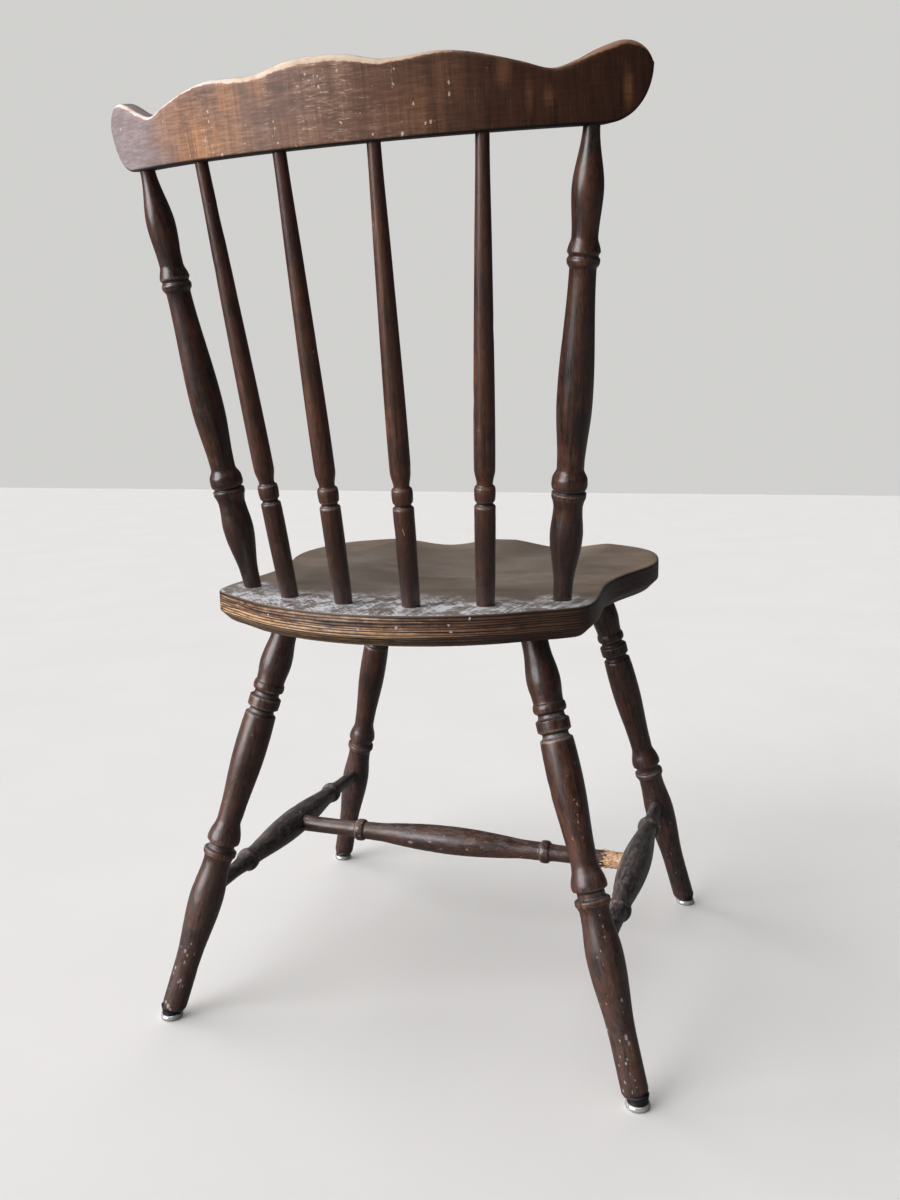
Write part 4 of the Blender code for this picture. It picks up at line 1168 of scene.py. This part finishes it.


# %% Walnut stain, paler on the left and deep red on the right, partly stain and partly painted light and shade, with a painted violet sheen at the left end
def walnut_stain(finish, look):
    tone = look.grain * 1.3 + look.broad * 0.7 + look.patch * 0.6 + look.bands * 0.6 + look.upright * 0.5
    wood = finish.blend((tone - 1.33).clamped(), WALNUT_DARK, WALNUT)
    lighter = (look.grain * 1.1 + look.rows * 0.5 + look.bands * 0.8 + look.patch * 0.5).rise(1.38, 1.90)
    # paler wood on the left and deep red on the right are partly the stain and partly painted light and shade
    wood = finish.blend((lighter * (1 - look.to_right) * 0.82).clamped(), wood, WALNUT_LIGHT)
    reddish = look.upright * 0.8 + look.fine_upright * 0.7 + look.grain * 0.7 + look.bands * 0.7
    deep = finish.blend((reddish + look.patch * 0.5 - 1.36).clamped(), WALNUT_DEEP, WALNUT_RED)
    wood = finish.blend(look.to_right * 0.96, wood, deep)
    # painted sheen: the left end is washed with a pale violet
    sheen_left_end = look.along.rise(0.115, 0.215) * (0.60 + 0.40 * look.grain.rise(0.40, 0.62))
    return finish.blend((sheen_left_end * 0.92).clamped(), wood, PAINTED_SHEEN_VIOLET)


# %% Scrapes, which bare an orange tan in upright streaks
def scraped_zone(finish, board):
    """Soft patches, each with its place, rise, half width, half height in mm, and strength."""
    zone = finish.nothing()
    for place, height, wide, tall, strength in SCRAPES:
        factors = (1000.0 / wide, 0.0, 1000.0 / tall)
        distance = finish.away(finish.scaled(board, factors), (place / wide, 0.0, height / tall))
        zone = zone.most(distance.rise(1.25, 0.10) * strength)
    return zone


def scraped(finish, look, zone, wood):
    """How far the varnish is scraped, and the wood with the scrapes on it."""
    streaks = look.upright * 0.8 + look.fine_upright * 0.8 + look.bands * 0.5 + look.grain * 0.9
    faint = look.upright.rise(0.60, 0.76) * look.bands.rise(0.42, 0.62) * 0.14
    scrape = (zone * (streaks.rise(1.20, 1.74) * 0.75 + 0.22) + faint).clamped()
    wood = finish.blend(scrape, wood, SCRAPED)
    bright = zone.rise(0.35, 1.0) * (look.fine_upright * 0.9 + look.grain * 0.9).rise(0.98, 1.20)
    return scrape, finish.blend((bright * 0.60).clamped(), wood, CREAM)


# %% Scratches, dashes and nicks
def scratch_lines(finish, board):
    """Thin lines drawn one by one, each from place and rise to place and rise, in mm."""
    wavering = finish.warp(board, 90.0, 0.0035)
    drawn = finish.nothing()
    rear = REAR_FACE * 1000.0
    for start, low, end, high in SCRATCHES:
        line = finish.stroke(wavering, metres(start, rear, low), metres(end, rear, high))
        drawn = drawn.most(line.rise(0.00045, 0.00015))
    return drawn


def scratched(finish, look):
    """Short dashes along the grain where the wall rubbed, upright ticks, and the drawn scratches."""
    scuffed = finish.away(look.board, (-0.002, REAR_FACE, 0.036)).rise(0.070, 0.012) * look.rear
    loose = look.patch.rise(0.55, 0.72) * 0.12 * (1 - look.to_right)
    dash = look.rows.rise(0.57, 0.69) * (scuffed * look.bands.rise(0.42, 0.60) * 0.72 + loose)
    tick = look.fine_upright.rise(0.64, 0.74) * (scuffed * 0.25 + 0.07)
    line = scratch_lines(finish, look.board) * (look.fine_upright * 0.8 + look.rows * 0.8).rise(0.70, 0.92)
    return dash.most(tick).most(line * 0.45).clamped()


def nicked(finish, look):
    places = [(place, REAR_FACE * 1000.0, height, half) for place, height, half in NICKS]
    placed, crumbs = finish.spots(look.board, places, (1.0, 1.0, 0.78))
    fleck = finish.cloud(look.board, 700.0, 2.0, 0.6).rise(0.775, 0.800) * look.bands.rise(0.45, 0.6) * 0.6
    return placed.most(crumbs * 0.5).most(fleck)


# %% The bare top edge
def rubbed_edge(s, under_edge):
    """Width of the bare band along the top edge, in metres: widest on the middle hump."""
    middle = (s - 0.004).math("ABSOLUTE").rise(0.125, 0.010) * 0.0040
    ear = (s + 0.236).math("ABSOLUTE").rise(0.034, 0.008) * 0.0022
    # the left hump widens a pale line that is partly bare wood and partly painted sheen
    left_hump = s.rise(0.050, 0.090) * 0.0011
    plain = 0.0014 - s.rise(-0.095, -0.125) * s.rise(-0.205, -0.185) * 0.0006
    return middle + ear + left_hump + plain - under_edge


def edged(finish, look, wood):
    """Where the wood is quite bare, and the wood with its pale edge and tan margin."""
    edge_noise = finish.cloud(finish.scaled(look.board, (0.5, 1.0, 1.0)), 110.0, 5.0, 0.70)
    chewed = finish.cloud(look.board, 420.0, 3.0, 0.65)
    width = rubbed_edge(look.along, finish.stored("under_edge"))
    bare = width + (edge_noise - 0.5) * 0.0040 + (chewed - 0.5) * 0.0022
    outer = look.offset.math("ABSOLUTE").rise(REAR_FACE - 0.0046, REAR_FACE - 0.0026)
    margin, solid = bare.rise(-0.0008, 0.0004) * outer, bare.rise(0.0, 0.0006) * outer
    wood = finish.blend((margin * (0.75 - 0.40 * look.to_right)).clamped(), wood, SCRAPED)
    # the bare band turns from cream to white on the left, where the white is partly bare wood and partly
    # painted sheen
    colour = finish.blend(look.along.rise(0.060, 0.100), CREAM, BARE_WHITE_AND_SHEEN)
    colour = finish.blend(look.to_right * 0.85, colour, RUBBED_WOOD)
    cover = (solid * (0.60 + 0.40 * edge_noise.rise(0.35, 0.55))).clamped()
    return solid, finish.blend(cover, wood, colour)


# %% The whole finish of the crest
def crest_finish():
    finish = Finish("crest_varnish")
    look = crest_patterns(finish)
    zone = scraped_zone(finish, look.board) * (look.rear * 0.85 + 0.15)
    scrape, wood = scraped(finish, look, zone, walnut_stain(finish, look))
    scratch = scratched(finish, look)
    solid, wood = edged(finish, look, finish.blend(scratch, wood, CREAM))
    nick = nicked(finish, look)
    wood = finish.blend((nick * (0.95 - 0.25 * look.to_right)).clamped(), wood, CREAM)
    # painted shade: a near-black line along the foot of the rail, where its underside turns away from the
    # light
    painted_shade_line = finish.stored("over_foot").rise(0.0026, 0.0010)
    wood = finish.blend(painted_shade_line * 0.9, wood, GRIME_AND_SHADE)

    gloss = 0.36 + look.patch * 0.10 + scrape * 0.12 + nick.most(solid) * 0.20 + look.fine_upright * 0.06
    relief = look.grain * 0.55 + look.upright * zone * 0.3 - nick * 1.4 - scratch * 0.6
    finish.set(Base_Color=wood, Roughness=gloss, Specular_IOR_Level=0.35, Coat_Weight=0.10,
               Coat_Roughness=0.30, Normal=finish.bumped(relief, 0.0003))
    return finish


crest_piece = add_crest(crest_finish())
print("crest", len(crest_piece.data.polygons), "faces")


# %% [markdown]
# ## The glides
# Under each leg a pressed nickel base sits flat on the floor, and a black cushion fills the wedge
# between it and the leaning leg. The solids are plain, so both are turned again: the base with the
# rolled shoulder of pressed metal, and the cushion with a moulded groove and a top cut to the leg.

# %% Glide finishes
def nickel_finish():
    finish = Finish("glide_nickel")
    own = finish.own()
    scuff = finish.cloud(finish.scaled(own, (1.0, 1.0, 3.0)), 700.0, 4.0, 0.6)
    grime = finish.cloud(own, 160.0, 3.0)
    height = finish.parts(own)[2]
    # darker where the grime noise is high, and on the lowest millimetre of the rim
    darkened = (grime.rise(0.56, 0.78) * 0.5 + height.rise(0.0010, 0.0002) * 0.4).clamped()
    colour = finish.blend(darkened, (0.90, 0.89, 0.87), (0.20, 0.18, 0.16))
    finish.set(Base_Color=colour, Metallic=0.62, Roughness=0.12 + scuff * 0.12 + darkened * 0.3,
               Normal=finish.bumped(scuff, 0.00004))
    return finish


def cushion_finish():
    finish = Finish("glide_cushion")
    own = finish.own()
    speck = finish.cloud(own, 1500.0, 3.0)
    dirt = finish.cloud(own, 130.0, 3.0)
    colour = finish.blend(dirt.rise(0.50, 0.78) * 0.3, (0.011, 0.011, 0.014), (0.11, 0.105, 0.10))
    finish.set(Base_Color=colour, Roughness=0.30 + dirt * 0.2, Normal=finish.bumped(speck, 0.00006))
    return finish


def steel_finish():
    finish = Finish("nail_steel")
    wear = finish.cloud(finish.place(), 600.0, 3.0)
    finish.set(Base_Color=finish.blend(wear, (0.56, 0.55, 0.54), (0.40, 0.39, 0.38)), Metallic=1.0,
               Roughness=0.3 + wear * 0.2)
    return finish


# %% Turn the glides
GLIDE_FACETS = 64
BASE_PROFILE = [
    (0.74, 0.0), (0.84, 0.0001), (0.91, 0.0004), (0.96, 0.0010), (0.99, 0.0018), (1.0, 0.0026),
    (0.99, 0.0034), (0.965, 0.0042), (0.925, 0.0049), (0.88, 0.0054), (0.83, 0.0056), (0.40, 0.0056),
]
CUSHION_FOOT = 0.0054
CUSHION_STEPS = 12
CUSHION_FOOT_SHARE = 0.945
CUSHION_GROOVE = 0.0005
GROOVE_PLACE = 0.42
GROOVE_WIDTH = 0.09
LEG_GAP = 0.0003


def round_points(radius, heights):
    angles = np.arange(GLIDE_FACETS) * 2.0 * math.pi / GLIDE_FACETS
    return [(math.cos(a) * radius, math.sin(a) * radius, z) for a, z in zip(angles, heights)]


def add_base(corner, finish):
    node = "glide_base_" + corner
    low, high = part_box(node)
    middle, radius = (low + high) / 2.0, (high.x - low.x) / 2.0
    points = [p for share, z in BASE_PROFILE for p in round_points(radius * share, [z] * GLIDE_FACETS)]
    points += [(0.0, 0.0, BASE_PROFILE[0][1]), (0.0, 0.0, BASE_PROFILE[-1][1])]
    mesh = grid_mesh(node + "_pressed", points, len(BASE_PROFILE), GLIDE_FACETS)
    standing = Matrix.Translation((middle.x, middle.y, 0.0))
    add_piece(node + "_pressed", mesh, finish, standing, node)
    return middle


def add_cushion(corner, middle, finish):
    node = "glide_cushion_" + corner
    low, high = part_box(node)
    radius = (high.x - low.x) / 2.0
    foot, along = lines[corner + "_leg"]
    points = []
    for step in range(CUSHION_STEPS + 1):
        share = step / CUSHION_STEPS
        groove = CUSHION_GROOVE * math.exp(-((share - GROOVE_PLACE) / GROOVE_WIDTH) ** 2)
        r = radius * (CUSHION_FOOT_SHARE + (1.0 - CUSHION_FOOT_SHARE) * share) - groove
        for x, y, _ in round_points(r, [0.0] * GLIDE_FACETS):
            away = (middle.x + x - foot[0]) * along[0] + (middle.y + y - foot[1]) * along[1]
            top = foot[2] - away / along[2] - LEG_GAP
            points.append((x, y, CUSHION_FOOT + (top - CUSHION_FOOT) * share))
    points += [tuple(np.mean(points[:GLIDE_FACETS], axis=0)), tuple(np.mean(points[-GLIDE_FACETS:], axis=0))]
    mesh = grid_mesh(node + "_moulded", points, CUSHION_STEPS + 1, GLIDE_FACETS)
    standing = Matrix.Translation((middle.x, middle.y, 0.0))
    add_piece(node + "_moulded", mesh, finish, standing, node)


nickel, rubber, steel = nickel_finish(), cushion_finish(), steel_finish()
for corner in ("front_left", "front_right", "rear_left", "rear_right"):
    middle = add_base(corner, nickel)
    add_cushion(corner, middle, rubber)
    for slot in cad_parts["glide_nail_" + corner].material_slots:
        slot.material = steel.material
    print("glide", corner, [round(v, 4) for v in middle])

# %% [markdown]
# ## Floor and surroundings
# A pale floor carries the shadow. The room round the chair is dim, so that the dark varnish keeps
# its depth. A brighter world would be simpler, but it would light the far side of each stick too;
# so only what the camera sees is pale, which Light Path's camera ray gives without any more light.

# %% Floor
FLOOR_HALF = 9.0
FLOOR_PALE = (0.80, 0.79, 0.77)
FLOOR_SHADE = (0.73, 0.72, 0.70)
FLOOR_BOUNCE = (0.155, 0.152, 0.148)
FLOOR_GLOW = (0.070, 0.068, 0.065)


def add_floor():
    mesh = bpy.data.meshes.new("floor")
    size = FLOOR_HALF
    corners = [(-size, -size, 0.0), (size, -size, 0.0), (size, size, 0.0), (-size, size, 0.0)]
    mesh.from_pydata(corners, [], [(0, 1, 2, 3)])
    floor = bpy.data.objects.new("floor", mesh)
    bpy.context.scene.collection.objects.link(floor)
    finish = Finish("floor_plaster")
    cloud = finish.cloud(finish.place(), 3.0, 5.0, 0.6)
    seen = finish.node("ShaderNodeLightPath")
    pale = finish.blend(cloud, FLOOR_SHADE, FLOOR_PALE)
    finish.set(Base_Color=finish.blend(seen, FLOOR_BOUNCE, pale), Roughness=0.85,
               Emission_Color=finish.blend(seen, (0.0, 0.0, 0.0), FLOOR_GLOW), Emission_Strength=1.0)
    mesh.materials.append(finish.material)


add_floor()
print("floor", 2.0 * FLOOR_HALF, "m wide")

# %% Surroundings: dim for the light on the chair, pale where the camera looks past the floor
BACKDROP = (0.64, 0.635, 0.62)
ROOM_FILL = (0.024, 0.025, 0.030)
GLOSSY_SHARE = 0.035


def add_surroundings():
    """Gloss sees the pale backdrop too, but only GLOSSY_SHARE of it."""
    world = bpy.data.worlds.new("studio")
    bpy.context.scene.world = world
    world.use_nodes = True
    tree = world.node_tree
    room = tree.nodes["Background"]
    room.inputs["Color"].default_value = (*ROOM_FILL, 1.0)
    backdrop = tree.nodes.new("ShaderNodeBackground")
    backdrop.inputs["Color"].default_value = (*BACKDROP, 1.0)
    rays = tree.nodes.new("ShaderNodeLightPath")
    seen = tree.nodes.new("ShaderNodeMath")
    seen.operation = "MULTIPLY_ADD"
    seen.inputs[1].default_value = GLOSSY_SHARE
    tree.links.new(rays.outputs["Is Glossy Ray"], seen.inputs[0])
    tree.links.new(rays.outputs["Is Camera Ray"], seen.inputs[2])
    mix = tree.nodes.new("ShaderNodeMixShader")
    tree.links.new(seen.outputs[0], mix.inputs["Fac"])
    tree.links.new(room.outputs[0], mix.inputs[1])
    tree.links.new(backdrop.outputs[0], mix.inputs[2])
    tree.links.new(mix.outputs[0], tree.nodes["World Output"].inputs["Surface"])


add_surroundings()
print("room fill", ROOM_FILL, "backdrop", BACKDROP)

# %% [markdown]
# ## Windows
# The light is soft and comes mostly from the chair's left, which is the picture's left too. Each
# window is a sun lamp with a wide angle: an area lamp would do as well, but a sun lights all of the
# chair alike. The first one stands low behind the chair and draws the pale line down each stick.
# The other two sides are lit without being mirrored, so that no second line shows, and a skylight
# lies over the seat.

# %% Windows: where each stands, its angle, strength and colour, and whether the varnish mirrors it
WINDOWS = {
    "window": ((1.12, 1.30, 0.55), 46.0, 3.1, (0.98, 0.972, 1.0), True),
    "side_window": ((1.87, -0.20, 0.42), 58.0, 2.7, (1.0, 0.965, 0.95), False),
    "far_window": ((0.60, -1.60, 0.50), 60.0, 1.2, (1.0, 0.98, 0.96), False),
    "skylight": ((0.55, 0.45, 1.80), 70.0, 1.1, (0.98, 0.985, 1.0), True),
}


def add_window(name, from_place, angle, strength, colour, mirrored):
    light = bpy.data.lights.new(name, "SUN")
    light.angle = math.radians(angle)
    light.energy = strength
    light.color = colour
    window = bpy.data.objects.new(name, light)
    window.location = from_place
    window.visible_glossy = mirrored
    window.rotation_euler = Vector(from_place).to_track_quat("Z", "Y").to_euler()
    bpy.context.scene.collection.objects.link(window)


for name, settings in WINDOWS.items():
    add_window(name, *settings)
print("windows", len(WINDOWS))

# %% [markdown]
# ## Camera
# It stands behind the chair's right side, at the height of the spindles' middle, and rolls a little,
# as a camera held by hand does. Its focal length is named in pixels of the picture's height, which
# Blender's lens setting needs as a share of the sensor.

# %% Camera
CAMERA_PLACE = Vector((-0.357, 1.073 + MIDDLE_SHIFT, 0.603))
CAMERA_AIM = Vector((0.003, MIDDLE_SHIFT, 0.419))
CAMERA_ROLL = -0.010
FOCAL_PIXELS = 1036.0
PICTURE_HEIGHT = 1200.0
SENSOR = 36.0


def add_camera():
    camera = bpy.data.objects.new("camera", bpy.data.cameras.new("camera"))
    camera.data.sensor_width = SENSOR
    camera.data.lens = FOCAL_PIXELS * SENSOR / PICTURE_HEIGHT
    forward = (CAMERA_AIM - CAMERA_PLACE).normalized()
    level = forward.cross(Vector(UP)).normalized()
    above = level.cross(forward)
    right = level * math.cos(CAMERA_ROLL) + above * math.sin(CAMERA_ROLL)
    up = above * math.cos(CAMERA_ROLL) - level * math.sin(CAMERA_ROLL)
    turn = Matrix((right, up, -forward)).transposed().to_4x4()
    camera.matrix_world = Matrix.Translation(CAMERA_PLACE) @ turn
    bpy.context.scene.collection.objects.link(camera)
    bpy.context.scene.camera = camera


add_camera()
bpy.context.scene.view_settings.view_transform = "Standard"
print("camera", [round(v, 3) for v in CAMERA_PLACE])
